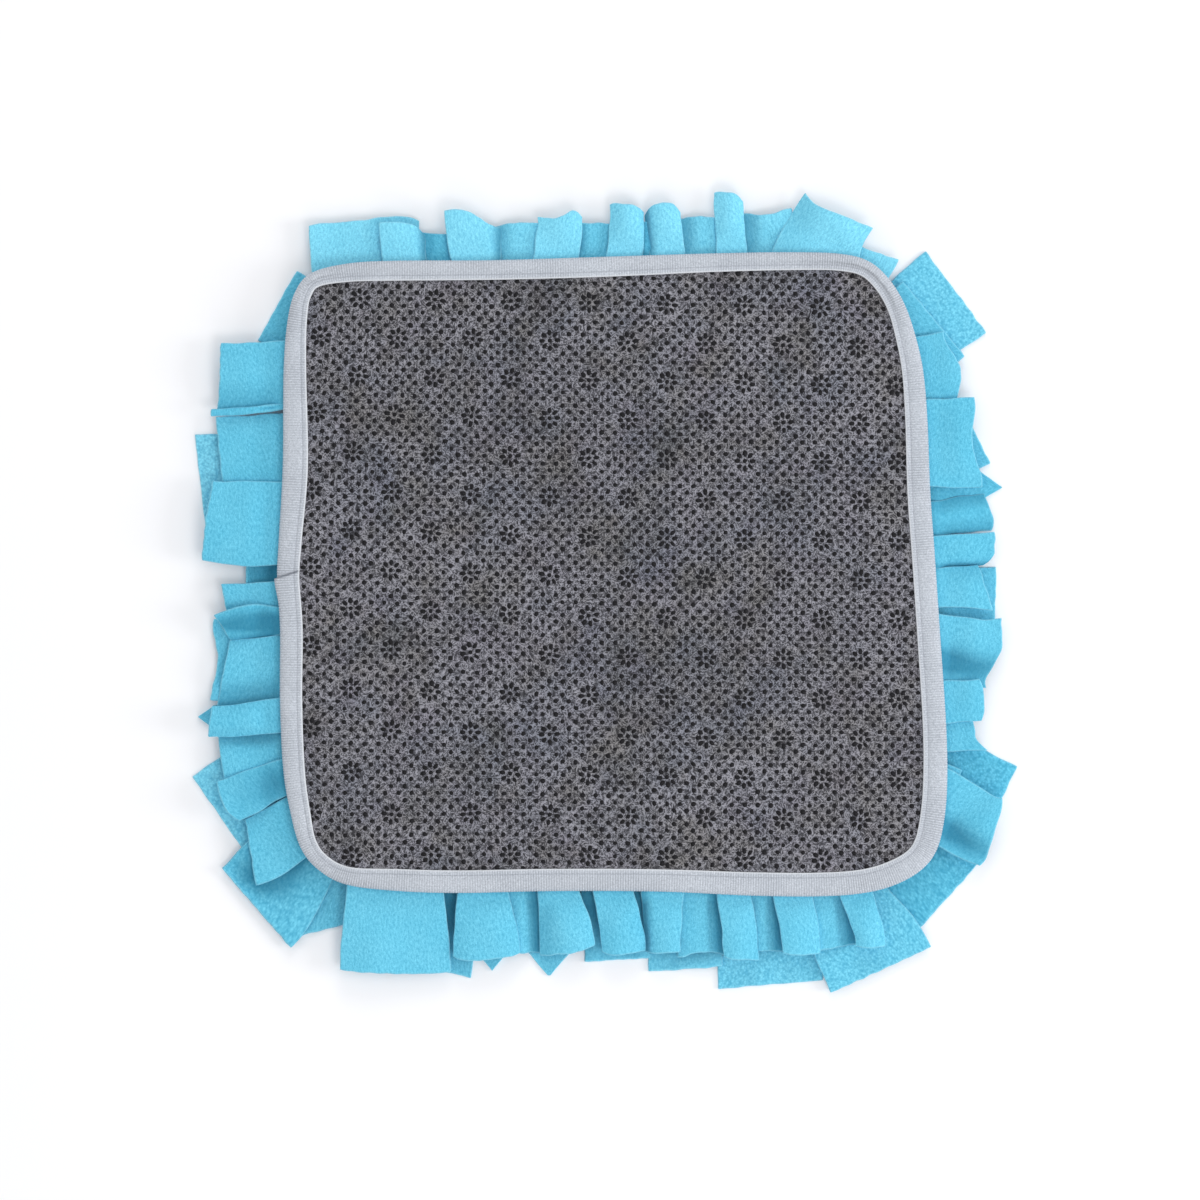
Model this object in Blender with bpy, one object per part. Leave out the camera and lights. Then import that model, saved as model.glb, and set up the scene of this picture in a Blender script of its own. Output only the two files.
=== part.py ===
"""Snuffle mat, 45 cm across, lying face down.

A square non-slip felt back, bound with folded tape, carries rows of wide fleece strips on its front.
The mat lies on that front: the strips are pressed flat under the back, and their ends fan out all round
it in up to four layers. The tables hold millimetres and degrees, the objects hold metres. +Z is up, +Y is
the side where only two layers of strips show, and the origin is on the floor under the middle of the mat.
"""

import math
from collections import namedtuple

import bmesh
import bpy
from mathutils import Vector

MM = 0.001

# Cloth thicknesses, and the gaps between the back and its tape, and between the back and the seams under it.
FLEECE = 1.5
SEAM = 2.1
FELT = 2.5
TAPE = 1.0
GAP = 0.3
SEAM_GAP = 0.45

# Layers of strips, from the floor up: layer 4 lies on the floor and layer 1 under the back.
LAYER_STEP = 2.9
LAYERS = 4
BACK_Z = 12.0
SEAM_Z = BACK_Z - SEAM_GAP - SEAM / 2
SEAM_WIDE = 7.0
FIRST_SEAM_INSET = 20.0
SEAM_STEP = 11.0
SEAM_SPARE = 2.0
SEAM_SPAN = 40.0

# How far from its root a strip has come down to its own layer.
DESCENT = {1: 7.0, 2: 8.0, 3: 9.0, 4: 10.0}

# The tape is folded round the edge of the back, with a lap of this width on the hidden face. Its two ends
# lap over each other on the left, where it is thicker.
UNDER_LAP = 10.5
TAPE_ROUND = 1.6
JOIN_Y = 8.0
JOIN_THICK = 0.7
JOIN_HALF = 9.0

# The arch of a strip begins just outside the back and becomes full over this distance. A strip that
# arches less than LOW_ARCH has fewer points. A slanted or rounded end takes up at least SHORTEST_END.
ARCH_START = 3.0
ARCH_FULL = 16.0
LOW_ARCH = 1.5
SHORTEST_END = 16.0

# Rows of strips on the hidden front, which fall towards -Y and lie on the floor.
INNER_ROWS_Y = (138.0, 98.0, 58.0, 18.0, -22.0, -62.0)
INNER_STRIPS = 6
INNER_PITCH = 38.0
INNER_WIDE = 36.0
INNER_MIDDLE_X = 2.0
INNER_LONG = 36.0
INNER_DESCENT = 13.0

# Spans of the outline's curve between two of its points, and the rings of faces that fill the back, as
# shares of the outline, round a point near its middle.
CURVE_STEPS = 2
RING_SHARES = (1.0, 0.78, 0.55, 0.3)
BACK_MIDDLE = (0.0, 8.0)

# The slow, shallow wave that the pressed-down cloth lies in: its two parts' shares of the height, and the
# distances over which they turn.
WAVE_SHARES = (0.06, 0.04)
WAVE_TURNS = (47.0, 58.0, 74.0)

Colour = namedtuple("Colour", "red green blue rough")
FLEECE_BLUE = Colour(0.10, 0.55, 0.76, 0.95)
FELT_GREY = Colour(0.13, 0.13, 0.14, 0.92)
TAPE_GREY = Colour(0.58, 0.59, 0.64, 0.80)

# The edge of the bound back, clockwise from the top left, with the width of the tape that shows there.
Edge = namedtuple("Edge", "x y lap")
OUTLINE = (
    Edge(-143, 180.4, 10.0),
    Edge(-118, 182.2, 11.0),
    Edge(-60, 182.6, 10.8),
    Edge(0, 184.5, 11.0),
    Edge(60, 186.4, 10.2),
    Edge(105, 187.0, 9.8),
    Edge(130, 186.0, 9.3),
    Edge(145, 182.0, 9.0),
    Edge(156, 172.5, 9.2),
    Edge(164.5, 159, 9.8),
    Edge(170.5, 142, 10.8),
    Edge(175, 122, 11.6),
    Edge(177.4, 95, 12.2),
    Edge(179, 55, 12.6),
    Edge(181.5, 20, 12.6),
    Edge(184.5, -25, 12.6),
    Edge(187.5, -70, 12.8),
    Edge(188.3, -100, 13.2),
    Edge(187, -122, 13.4),
    Edge(183, -140, 13.2),
    Edge(175, -151.5, 13.0),
    Edge(161, -160, 13.2),
    Edge(143, -165, 13.0),
    Edge(118, -166.9, 13.0),
    Edge(80, -166.5, 12.8),
    Edge(30, -164.3, 12.2),
    Edge(-30, -164, 12.2),
    Edge(-80, -165, 12.4),
    Edge(-115, -163.8, 12.0),
    Edge(-142, -160.3, 9.8),
    Edge(-157.5, -152, 9.0),
    Edge(-167, -140, 9.4),
    Edge(-172.5, -121, 10.8),
    Edge(-176.5, -97, 11.8),
    Edge(-178.3, -60, 12.2),
    Edge(-178.3, -20, 12.4),
    Edge(-179.9, 8, 12.2),
    Edge(-179, 29, 12.6),
    Edge(-176.8, 70, 13.8),
    Edge(-176.3, 122, 12.4),
    Edge(-174, 150, 10.6),
    Edge(-169.5, 166, 9.0),
    Edge(-161, 175.5, 8.6),
)

# A side's edge line: where it starts (along = 0), the way along it, and the way out.
Side = namedtuple("Side", "x y along out")
SIDES = {
    "top": Side(0.0, 184.3, (1.0, 0.022), (-0.022, 1.0)),
    "right": Side(183.0, 0.0, (-0.05, 1.0), (1.0, 0.05)),
    "bottom": Side(0.0, -165.0, (1.0, 0.0), (0.0, -1.0)),
    "left": Side(-178.0, 0.0, (0.0, 1.0), (-1.0, 0.0)),
}

# How far the free ends of a side's strips sink towards the floor, between two places along the side.
Fall = namedtuple("Fall", "side start end drop")
FALLS = (
    Fall("top", -140, 100, 3.0),
    Fall("bottom", -105, 30, 2.9),
    Fall("right", -56, 75, 2.9),
)
FALL_FULL = 34.0
FALL_FADE = 26.0

# One strip: its layer; where its middle is along the side and how wide it is, at its root and at its tip;
# how far the tip lies beyond the edge line; the way that the tip points (+ is along the side); how much
# further out the tip's + corner is than its - corner; how far both corners are behind the tip's middle;
# how high the strip arches, and how much of the arch lies by its + edge (or by its - edge, below 0) and not
# in its middle; how much further out its cut end lies at five places across it, from the - corner to the +
# one; how far its - edge and its + edge bow out; and how far both corners are behind a pointed tip.
EVEN = (0, 0, 0, 0, 0)
STRIP_COLUMNS = "layer at wide tip_at tip_wide reach turn slant dome arch high cut bow point"
Strip = namedtuple("Strip", STRIP_COLUMNS, defaults=(0, 0, 0, 0, 0, EVEN, (0, 0), 0))
STRIPS = {
    "top": (
        Strip(2, -131, 56, -132, 60, 23, slant=2, arch=0.8, cut=(-1.2, -0.4, 0.2, 1.4, -1.8)),
        Strip(1, -108.5, 23, -111, 24, 20, slant=-3, arch=4, high=-0.6, cut=(0, 0.8, 1.3, 0.5, -3.8)),
        Strip(2, -89.5, 25, -89.5, 22, 16, cut=(0, -1, -1.5, -1, 0)),
        Strip(1, -69, 24, -72, 30, 22, slant=-8, arch=5, high=-0.6, cut=(1.1, 3.7, 3.3, 0, 0)),
        Strip(2, -50, 28, -49, 27, 19.5, arch=1.2, high=0.9, cut=(-2, -0.5, 0.3, 0.3, 0)),
        Strip(1, -29, 25, -24, 24, 23, slant=2, arch=4, high=0.5, cut=(0.7, -0.7, -0.8, 2, -1.8)),
        Strip(2, -10, 22, -7.5, 22, 18.5, arch=1.2, high=0.7, cut=(0, 0.4, 0.4, 0.2, -0.3)),
        Strip(2, 23, 18, 23, 18, 19),
        Strip(1, 9.6, 21, 13, 17.5, 27.5, slant=-4, arch=6, high=0.2, cut=(-0.4, 0.4, 0.9, 1.3, -1.4)),
        Strip(1, 35.5, 19, 32.6, 19, 28.5, dome=6, arch=6, high=0.4, cut=(0, 0.8, 0.4, 1.6, 1.2)),
        Strip(2, 53, 26, 53, 26, 20.5, arch=1.2, high=0.8, cut=(-0.5, 0.5, 0.8, 0.3, -0.4)),
        Strip(1, 70.6, 16.5, 69, 15, 33.5, slant=-3, dome=1, arch=5, high=0.3, cut=(0.3, 0.3, 0.3, 0.4, -2)),
        Strip(2, 90, 28, 89, 28, 22, slant=2, arch=1.2, high=0.9, cut=(1, 0.3, -0.5, 0.3, 1.7)),
        Strip(
            1, 113, 49, 129, 41, 22.4,
            turn=35, slant=5.5, arch=3.5, high=-0.2, cut=(0.8, -2.6, -1.9, -1, 0),
        ),
        Strip(2, 129, 22, 146, 32, 0.5, turn=20),
    ),
    "right": (
        Strip(4, 129, 36, 164.5, 55, 18.5, turn=34),
        Strip(3, 119, 28, 150.3, 53, 5.5, turn=36.6),
        Strip(2, 121, 30, 124.5, 37, 17.5, slant=-3, dome=3, arch=1.2, high=0.6, cut=(0, 1, 0.3, -3, -3)),
        Strip(1, 82.5, 46, 81.5, 49, 25, slant=1, arch=4, high=0.2, cut=(3, 0.4, -2.1, -1.1, 0)),
        Strip(3, 76, 34, 88, 40, 24.5, turn=24),
        Strip(2, 38, 17, 43, 20, 31, slant=-4, cut=(-1.5, 0.8, 0.6, 0, 0)),
        Strip(3, 55, 20, 56, 16, 38.5, turn=-5, point=12),
        Strip(1, 22.2, 17.5, 22.5, 17.5, 31, slant=2, arch=2.5, high=0.6, cut=(-4.4, 0.6, 1.3, 1.1, 0.9)),
        Strip(
            1, 3.5, 19, 1.2, 24.5, 26.5,
            slant=-5, arch=3.5, high=-0.7, cut=(0.5, 0.3, 0, -0.3, -1), bow=(-1.5, 0),
        ),
        Strip(3, 1, 34, -3, 30, 32, slant=2),
        Strip(1, -29, 38, -35, 37, 31, slant=8, dome=1, arch=4, high=0.8, cut=(-2.3, -2, 1.5, 1.2, 0.4)),
        Strip(1, -60.4, 23.6, -60, 22, 22.5, dome=2, arch=3.5, high=0.8),
        Strip(2, -79, 17, -79, 17, 18.5, slant=-5, arch=1, high=-0.7, cut=(1.8, -1.4, -1.9, -1, -0.3)),
        Strip(2, -95, 8, -101, 6, 7, turn=-30, arch=1.2),
        Strip(4, -80, 34, -115.5, 40, 29.5, turn=-28),
        Strip(1, -112, 40, -133, 38, 23.5, turn=-14, slant=3, arch=4, high=0.4, cut=(-2, 0.8, 0.5, 0.8, 0)),
        Strip(4, -110, 20, -169, 62, -4, turn=-45),
    ),
    "bottom": (
        Strip(1, -115, 51, -115, 60, 43.5, slant=1, arch=1.5, cut=(-1, 0.3, 0.8, 0.6, -0.8)),
        Strip(
            1, -67.7, 24, -65, 36, 36,
            slant=-1, dome=1, arch=4.5, high=-0.3, cut=(-0.7, 1.2, 0.4, 0, -1.2),
        ),
        Strip(2, -48, 22, -45, 24, 33, arch=1.2, high=-0.8),
        Strip(1, -28, 18, -20.5, 30, 32, slant=-5, arch=4.5, high=0.3, cut=(0, 0.7, 1.2, 1, -1.1)),
        Strip(1, 2, 20, 10.6, 23.5, 33, arch=5, high=-0.3, cut=(-0.8, 1.2, 0.8, -0.2, -0.8)),
        Strip(1, 31.5, 25, 32.2, 18.7, 32.5, arch=5, high=0.5, cut=(0, 0.5, 0.3, 0, -0.5)),
        Strip(2, 52.5, 17, 55, 29, 34, slant=1, arch=1.2, high=-0.9, cut=(2, 0, -1.6, -1, 2)),
        Strip(1, 69.5, 18, 75, 18.5, 36, slant=1, arch=5, high=-0.6, cut=(-0.6, 0.5, 0.5, 0.3, 0.3)),
        Strip(2, 86, 18, 88, 20, 32, arch=1.2, high=-0.8),
        Strip(1, 100.5, 21, 108.4, 20.3, 33.5, arch=5, high=-0.7, cut=(-0.8, 0.3, 0.3, 0, -0.6)),
        Strip(2, 120, 24, 126, 28, 30, slant=-4, arch=1.2, high=-0.8, cut=(-0.5, 0.6, 0.3, 0, 0)),
        Strip(1, 133.5, 18, 146, 15.6, 29.5, arch=5, high=-0.5, cut=(-0.5, 0.3, 0.3, 0, -0.3)),
        Strip(3, 112, 34, 152, 60, 42.5, turn=24.7),
        Strip(3, -88, 28, -88.5, 30, 43.5, turn=-6, slant=3.5),
        Strip(3, -61.5, 20, -62, 23, 43, point=14),
        Strip(3, -32, 26, -30.5, 30, 46.5, point=18),
        Strip(3, 4, 40, 7.5, 36, 37, slant=-2),
        Strip(3, 48, 34, 44.5, 40, 42, slant=-3),
        Strip(4, 90, 52, 91.5, 57, 50.5, slant=-5),
        Strip(4, -107, 20, -149, 34, 19, turn=-8, slant=-14),
    ),
    "left": (
        Strip(4, 127, 32, 158, 43, 2, turn=29),
        Strip(1, 121, 35, 118.5, 36, 33.5, slant=-2, arch=2, cut=(0.3, -0.3, -0.4, 0, 0)),
        Strip(1, 103.2, 2.8, 98.9, 3.2, 38, arch=1.6),
        Strip(2, 79, 42, 76.5, 40, 33.5, slant=4, arch=0.8),
        Strip(4, 60, 48, 61, 52, 44.5, slant=6),
        Strip(
            1, 37.5, 46, 39.5, 43, 40.5,
            slant=-6, arch=3, high=0.2, cut=(-0.5, 0, 0.4, 0, -0.5), bow=(2, 0),
        ),
        Strip(3, 9, 16, 9, 14, 19),
        Strip(2, -1, 18, -3, 15, 31, slant=3, arch=1),
        Strip(1, -13.5, 15, -19.5, 14, 31.5, slant=9, arch=6, high=0.7, bow=(0, 4)),
        Strip(2, -39, 36, -44.5, 36, 31.5, slant=-7, arch=0.8),
        Strip(3, -36, 40, -37, 44, 36.5, cut=(2, 0, -1.9, -0.5, 0.3)),
        Strip(1, -66, 20, -71, 16, 38.5, slant=-2, arch=4),
        Strip(4, -30, 16, -68.5, 12, 45.5, point=8),
        Strip(2, -88, 28, -89, 28, 33, slant=4, arch=0.8),
        Strip(1, -98, 17, -115, 24, 30, turn=-20, slant=3, arch=4, high=-0.5, cut=(-2, 1.2, 1.8, 1.2, -0.5)),
        Strip(4, -78, 36, -121, 48, 35, turn=-35),
        Strip(2, -121, 32, -143, 36, 16.5, turn=-20, slant=-7),
        Strip(3, -120, 36, -173.5, 57, 13.5, turn=-46, slant=-5),
    ),
}


def smooth(t):
    t = min(max(t, 0.0), 1.0)
    return t * t * (3 - 2 * t)


def lie(x, y):
    """The height of the pressed-down cloth at a place, as a share of its even height."""
    ripple = WAVE_SHARES[0] * math.sin(x / WAVE_TURNS[0] + 0.6) * math.cos(y / WAVE_TURNS[1])
    return 1 + ripple + WAVE_SHARES[1] * math.sin((x + 1.6 * y) / WAVE_TURNS[2])


def side_point(side, along, out):
    """The plan position of a point that is so far along a side and so far out from its edge line."""
    return (
        side.x + along * side.along[0] + out * side.out[0],
        side.y + along * side.along[1] + out * side.out[1],
    )


def fall(x, y):
    """How far the strips have sunk at a plan position outside the back."""
    total = 0.0
    for row in FALLS:
        side = SIDES[row.side]
        along = (x - side.x) * side.along[0] + (y - side.y) * side.along[1]
        out = (x - side.x) * side.out[0] + (y - side.y) * side.out[1]
        inside = smooth((along - row.start) / FALL_FADE + 1) * smooth((row.end - along) / FALL_FADE + 1)
        total += row.drop * inside * smooth(out / FALL_FULL)
    return total


def spline(points, steps):
    """A closed Catmull-Rom curve through the outline's points, with the same number of steps to each."""
    found = []
    count = len(points)
    for i in range(count):
        a, b, c, d = (Vector(points[(i + k) % count]) for k in (-1, 0, 1, 2))
        for k in range(steps):
            t = k / steps
            bend = (2 * a - 5 * b + 4 * c - d) * t**2 + (3 * b - a - 3 * c + d) * t**3
            found.append(0.5 * (2 * b + (c - a) * t + bend))
    return found


def inward(curve):
    """The unit vector that points into the back at each point of the outline."""
    found = []
    for i in range(len(curve)):
        ahead = curve[(i + 1) % len(curve)] - curve[i - 1]
        found.append(Vector((ahead.y, -ahead.x)).normalized())
    return found


def material(name, colour):
    made = bpy.data.materials.new(name)
    made.use_nodes = True
    shader = made.node_tree.nodes["Principled BSDF"]
    shader.inputs["Base Color"].default_value = (colour.red, colour.green, colour.blue, 1)
    shader.inputs["Roughness"].default_value = colour.rough
    shader.inputs["Metallic"].default_value = 0
    made.diffuse_color = (colour.red, colour.green, colour.blue, 1)
    return made


def solid(name, points, faces, finish, collection=None):
    """A mesh object from points in millimetres, settled into the mat's slow wave."""
    mesh = bpy.data.meshes.new(name)
    mesh.from_pydata([(x * MM, y * MM, z * lie(x, y) * MM) for x, y, z in points], [], faces)
    shape = bmesh.new()
    shape.from_mesh(mesh)
    bmesh.ops.recalc_face_normals(shape, faces=shape.faces)
    shape.to_mesh(mesh)
    shape.free()
    mesh.materials.append(finish)
    mesh.shade_smooth()
    mesh.set_sharp_from_angle(angle=math.radians(40))
    made = bpy.data.objects.new(name, mesh)
    (collection or bpy.context.scene.collection).objects.link(made)
    return made


def slab(name, grid, thickness, finish, collection=None):
    """A closed sheet of cloth, half its thickness to each side of a grid of points."""
    rows, columns = len(grid), len(grid[0])
    upper = []
    lower = []
    for i in range(rows):
        for j in range(columns):
            along = grid[min(i + 1, rows - 1)][j] - grid[max(i - 1, 0)][j]
            across = grid[i][min(j + 1, columns - 1)] - grid[i][max(j - 1, 0)]
            normal = across.cross(along).normalized()
            normal *= math.copysign(thickness / 2, normal.z)
            upper.append(grid[i][j] + normal)
            lower.append(grid[i][j] - normal)
    below = rows * columns
    faces = []
    for i in range(rows - 1):
        for j in range(columns - 1):
            a = i * columns + j
            cell = (a, a + 1, a + columns + 1, a + columns)
            faces.append(cell)
            faces.append(tuple(below + k for k in reversed(cell)))
    rim = [j for j in range(columns)]
    rim += [i * columns + columns - 1 for i in range(1, rows)]
    rim += [(rows - 1) * columns + j for j in range(columns - 2, -1, -1)]
    rim += [i * columns for i in range(rows - 2, 0, -1)]
    for a, b in zip(rim, rim[1:] + rim[:1]):
        faces.append((a, b, below + b, below + a))
    return solid(name, upper + lower, faces, finish, collection)


def rise_across(u, high):
    """The height of an arched strip across it, as a share of its arch: even, or higher by one edge."""
    from_high = (1 - u * math.copysign(1.0, high)) / 2
    return abs(high) * (1 - from_high**2) + (1 - abs(high)) * (1 - u**2)


def cut_line(strip, u):
    """How far the cut end lies beyond an even one, at a place across the strip."""
    place = (u + 1) / 2 * (len(strip.cut) - 1)
    first = min(int(place), len(strip.cut) - 2)
    waved = strip.cut[first] + (strip.cut[first + 1] - strip.cut[first]) * (place - first)
    return strip.slant * u / 2 - strip.dome * u**2 - strip.point * abs(u) + waved


def strip_grid(side, strip, inset, descent, low_z, across, stations):
    """The middle surface of one strip, from its root in the seam to its tip."""
    long = inset + strip.reach
    edge = min(inset, long - SHORTEST_END)
    root = Vector((strip.at, -inset))
    tip = Vector((strip.tip_at, strip.reach))
    pull = (tip - root).length
    turn = math.radians(strip.turn)
    leave = Vector((0.0, pull))
    arrive = Vector((math.sin(turn), math.cos(turn))) * pull
    grid = []
    for distance in stations:
        v = distance / long
        middle = (
            (2 * v**3 - 3 * v**2 + 1) * root
            + (v**3 - 2 * v**2 + v) * leave
            + (3 * v**2 - 2 * v**3) * tip
            + (v**3 - v**2) * arrive
        )
        ahead = (
            (6 * v**2 - 6 * v) * root
            + (3 * v**2 - 4 * v + 1) * leave
            + (6 * v - 6 * v**2) * tip
            + (3 * v**2 - 2 * v) * arrive
        ).normalized()
        sideways = Vector((ahead.y, -ahead.x))
        beyond = min(max((distance - edge) / (long - edge), 0.0), 1.0)
        half = (strip.wide + (strip.tip_wide - strip.wide) * smooth(v)) / 2
        arch = strip.arch * smooth((distance - inset - ARCH_START) / ARCH_FULL)
        shown = min(max((distance - inset) / (long - inset), 0.0), 1.0)
        height = SEAM_Z + (low_z - SEAM_Z) * smooth(distance / descent)
        row = []
        for j in range(across + 1):
            u = 2 * j / across - 1
            bowed = strip.bow[u > 0] * 4 * shown * (1 - shown)
            place = middle + sideways * (u * (half + bowed)) + ahead * (cut_line(strip, u) * beyond**2)
            x, y = side_point(side, place.x, place.y)
            row.append(Vector((x, y, height + arch * rise_across(u, strip.high) - fall(x, y))))
        grid.append(row)
    return grid


def seam_grid(side, first, last, inset):
    """The middle surface of the seam that gathers a row of strips, along a side."""
    count = max(2, round((last - first) / SEAM_SPAN))
    grid = []
    for i in range(count + 1):
        along = first + (last - first) * i / count
        row = []
        for out in (-inset - SEAM_WIDE / 2, -inset + SEAM_WIDE / 2):
            x, y = side_point(side, along, out)
            row.append(Vector((x, y, SEAM_Z)))
        grid.append(row)
    return grid


def cells_across(strip):
    """A strip that arches or isn't cut straight has more cells across it."""
    if strip.arch > LOW_ARCH or strip.dome or strip.point or strip.cut != EVEN:
        return 4
    return 2 if strip.arch or strip.turn else 1


def stations_along(strip, inset, descent):
    """The distances from the root at which a strip's surface has points."""
    tip = inset + strip.reach
    edge = max(min(inset, tip - SHORTEST_END), descent)
    found = {0, descent / 2, descent, (descent + edge) / 2, edge}
    steps = 3 if strip.arch > LOW_ARCH else 2
    found.update(edge + (tip - edge) * (k + 1) / steps for k in range(steps))
    return sorted(found)


def strip_row(name, side, strips, inset, descent, low_z, finish):
    """A row of strips fused at their roots to the seam that holds them, as one object."""
    first = min(strip.at - strip.wide / 2 for strip in strips) - SEAM_SPARE
    last = max(strip.at + strip.wide / 2 for strip in strips) + SEAM_SPARE
    seam = slab(name, seam_grid(side, first, last, inset), SEAM, finish)
    cut = bpy.data.collections.new(name + "_cut_strips")
    bpy.context.scene.collection.children.link(cut)
    for number, strip in enumerate(strips):
        stations = stations_along(strip, inset, descent)
        grid = strip_grid(side, strip, inset, descent, low_z, cells_across(strip), stations)
        piece = slab(f"{name}_strip_{number}", grid, FLEECE, finish, cut)
        piece.hide_render = True
        piece.display_type = "WIRE"
    join = seam.modifiers.new("sewn_on", "BOOLEAN")
    join.operation = "UNION"
    join.solver = "EXACT"
    join.operand_type = "COLLECTION"
    join.collection = cut
    return seam


def layered_rows(finish):
    """The rows of strips whose ends show round the back, one row for each layer of each side."""
    for side_name, strips in STRIPS.items():
        for layer in range(1, LAYERS + 1):
            row = [strip for strip in strips if strip.layer == layer]
            if not row:
                continue
            inset = FIRST_SEAM_INSET + SEAM_STEP * (layer - 1)
            low_z = LAYER_STEP * (LAYERS - layer) + FLEECE / 2
            name = f"strips_{side_name}_{layer}"
            strip_row(name, SIDES[side_name], row, inset, DESCENT[layer], low_z, finish)


def inner_rows(finish):
    """Plain rows of strips over the hidden front, side by side across it."""
    for number, y in enumerate(INNER_ROWS_Y):
        side = Side(INNER_MIDDLE_X, y, (1.0, 0.0), (0.0, -1.0))
        strips = []
        for k in range(INNER_STRIPS):
            at = (k - (INNER_STRIPS - 1) / 2) * INNER_PITCH
            strips.append(Strip(LAYERS, at, INNER_WIDE, at, INNER_WIDE, INNER_LONG))
        strip_row(f"strips_front_{number + 1}", side, strips, 0.0, INNER_DESCENT, FLEECE / 2, finish)


def back_panel(finish):
    """The felt back: a thin slab with the bound outline, less the tape that wraps its edge."""
    curve = spline([(e.x, e.y) for e in OUTLINE], CURVE_STEPS)
    into = inward(curve)
    middle = Vector(BACK_MIDDLE)
    rim = [point + n * (TAPE + GAP) for point, n in zip(curve, into)]
    rings = [[middle + (point - middle) * share for point in rim] for share in RING_SHARES]
    count = len(rim)
    points = []
    for z in (BACK_Z, BACK_Z + FELT):
        for ring in rings:
            points += [(p.x, p.y, z) for p in ring]
        points.append((middle.x, middle.y, z))
    layer = count * len(rings) + 1
    faces = []
    for base in (0, layer):
        for r in range(len(rings) - 1):
            for i in range(count):
                a = base + r * count + i
                b = base + r * count + (i + 1) % count
                faces.append((a, b, b + count, a + count))
        last = base + (len(rings) - 1) * count
        for i in range(count):
            faces.append((last + i, last + (i + 1) % count, base + layer - 1))
    for i in range(count):
        k = (i + 1) % count
        faces.append((i, k, layer + k, layer + i))
    return solid("felt_back", points, faces, finish)


def tape_section(lap, thick):
    """The section of the folded tape: distance in from the bound edge, and height."""
    top = BACK_Z + FELT + GAP + TAPE + thick
    bottom = BACK_Z - GAP - TAPE
    knee = TAPE_ROUND * (1 - math.sqrt(0.5))
    return (
        (lap, top),
        (TAPE_ROUND - thick, top),
        (knee - thick, top - knee),
        (-thick, top - TAPE_ROUND),
        (-thick, bottom + TAPE_ROUND),
        (knee, bottom + knee),
        (TAPE_ROUND, bottom),
        (UNDER_LAP, bottom),
        (UNDER_LAP, bottom + TAPE),
        (TAPE, bottom + TAPE),
        (TAPE, BACK_Z + FELT + GAP),
        (lap, BACK_Z + FELT + GAP),
    )


def binding(finish):
    """The tape folded over the edge of the back, thicker where its two ends lap over each other."""
    curve = spline([(e.x, e.y, e.lap) for e in OUTLINE], CURVE_STEPS)
    plan = [Vector((p.x, p.y)) for p in curve]
    into = inward(plan)
    points = []
    for place, n, at in zip(plan, into, curve):
        near_join = smooth(2 - abs(place.y - JOIN_Y) / JOIN_HALF) if place.x < 0 else 0.0
        for distance, z in tape_section(at.z, JOIN_THICK * near_join):
            spot = place + n * distance
            points.append((spot.x, spot.y, z))
    size = len(points) // len(plan)
    faces = []
    for i in range(len(plan)):
        k = (i + 1) % len(plan)
        for j in range(size):
            m = (j + 1) % size
            faces.append((i * size + j, i * size + m, k * size + m, k * size + j))
    return solid("binding_tape", points, faces, finish)


def main():
    for old in list(bpy.data.objects):
        bpy.data.objects.remove(old)
    fleece = material("fleece", FLEECE_BLUE)
    layered_rows(fleece)
    inner_rows(fleece)
    back_panel(material("felt", FELT_GREY))
    binding(material("tape", TAPE_GREY))


main()
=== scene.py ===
import math
from collections import namedtuple

import bpy
import numpy as np
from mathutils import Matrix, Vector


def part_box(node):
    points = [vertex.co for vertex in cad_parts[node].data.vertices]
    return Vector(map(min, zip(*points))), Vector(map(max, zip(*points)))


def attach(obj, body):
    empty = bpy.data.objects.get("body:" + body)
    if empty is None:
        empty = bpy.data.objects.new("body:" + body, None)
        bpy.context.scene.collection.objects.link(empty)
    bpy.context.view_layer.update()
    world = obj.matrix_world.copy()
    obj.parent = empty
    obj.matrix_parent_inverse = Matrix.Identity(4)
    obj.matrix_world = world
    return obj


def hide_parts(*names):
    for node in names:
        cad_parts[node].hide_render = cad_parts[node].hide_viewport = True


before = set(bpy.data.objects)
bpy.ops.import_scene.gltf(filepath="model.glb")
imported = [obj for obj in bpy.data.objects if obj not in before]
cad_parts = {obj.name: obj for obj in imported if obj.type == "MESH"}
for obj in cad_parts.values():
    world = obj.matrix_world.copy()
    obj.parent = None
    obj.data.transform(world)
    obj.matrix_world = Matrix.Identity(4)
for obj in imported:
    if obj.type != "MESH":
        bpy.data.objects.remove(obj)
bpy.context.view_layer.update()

# Tables and sizes are in millimetres and degrees, as the mat's maker would give them; meshes are in metres.
MM = 0.001

# Cloth thicknesses and the small gaps between the mat's layers.
FLEECE = 1.5
SEAM = 2.1
FELT = 2.5
TAPE = 1.0
GAP = 0.3
SEAM_GAP = 0.45

# Layers of strips: layer 4 lies on the floor, layer 1 under the back.
LAYER_STEP = 2.9
LAYERS = 4
BACK_Z = 12.0
SEAM_Z = BACK_Z - SEAM_GAP - SEAM / 2
SEAM_WIDE = 7.0
FIRST_SEAM_INSET = 20.0
SEAM_STEP = 11.0
SEAM_SPARE = 2.0
DESCENT = {1: 7.0, 2: 8.0, 3: 9.0, 4: 10.0}

# The arch of a strip begins just outside the back, and dips begin at its edge. A soft edge tucks down
# over the last part of the strip's half width.
ARCH_START = 3.0
ARCH_FULL = 16.0
DIP_FULL = 6.0
TUCK = 5.0
TUCK_FROM = 0.5
SHORTEST_END = 16.0

# Plain rows on the hidden front.
INNER_ROWS_Y = (138.0, 98.0, 58.0, 18.0, -22.0, -62.0)
INNER_STRIPS = 6
INNER_PITCH = 38.0
INNER_WIDE = 36.0
INNER_MIDDLE_X = 2.0
INNER_LONG = 36.0
INNER_DESCENT = 13.0

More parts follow.
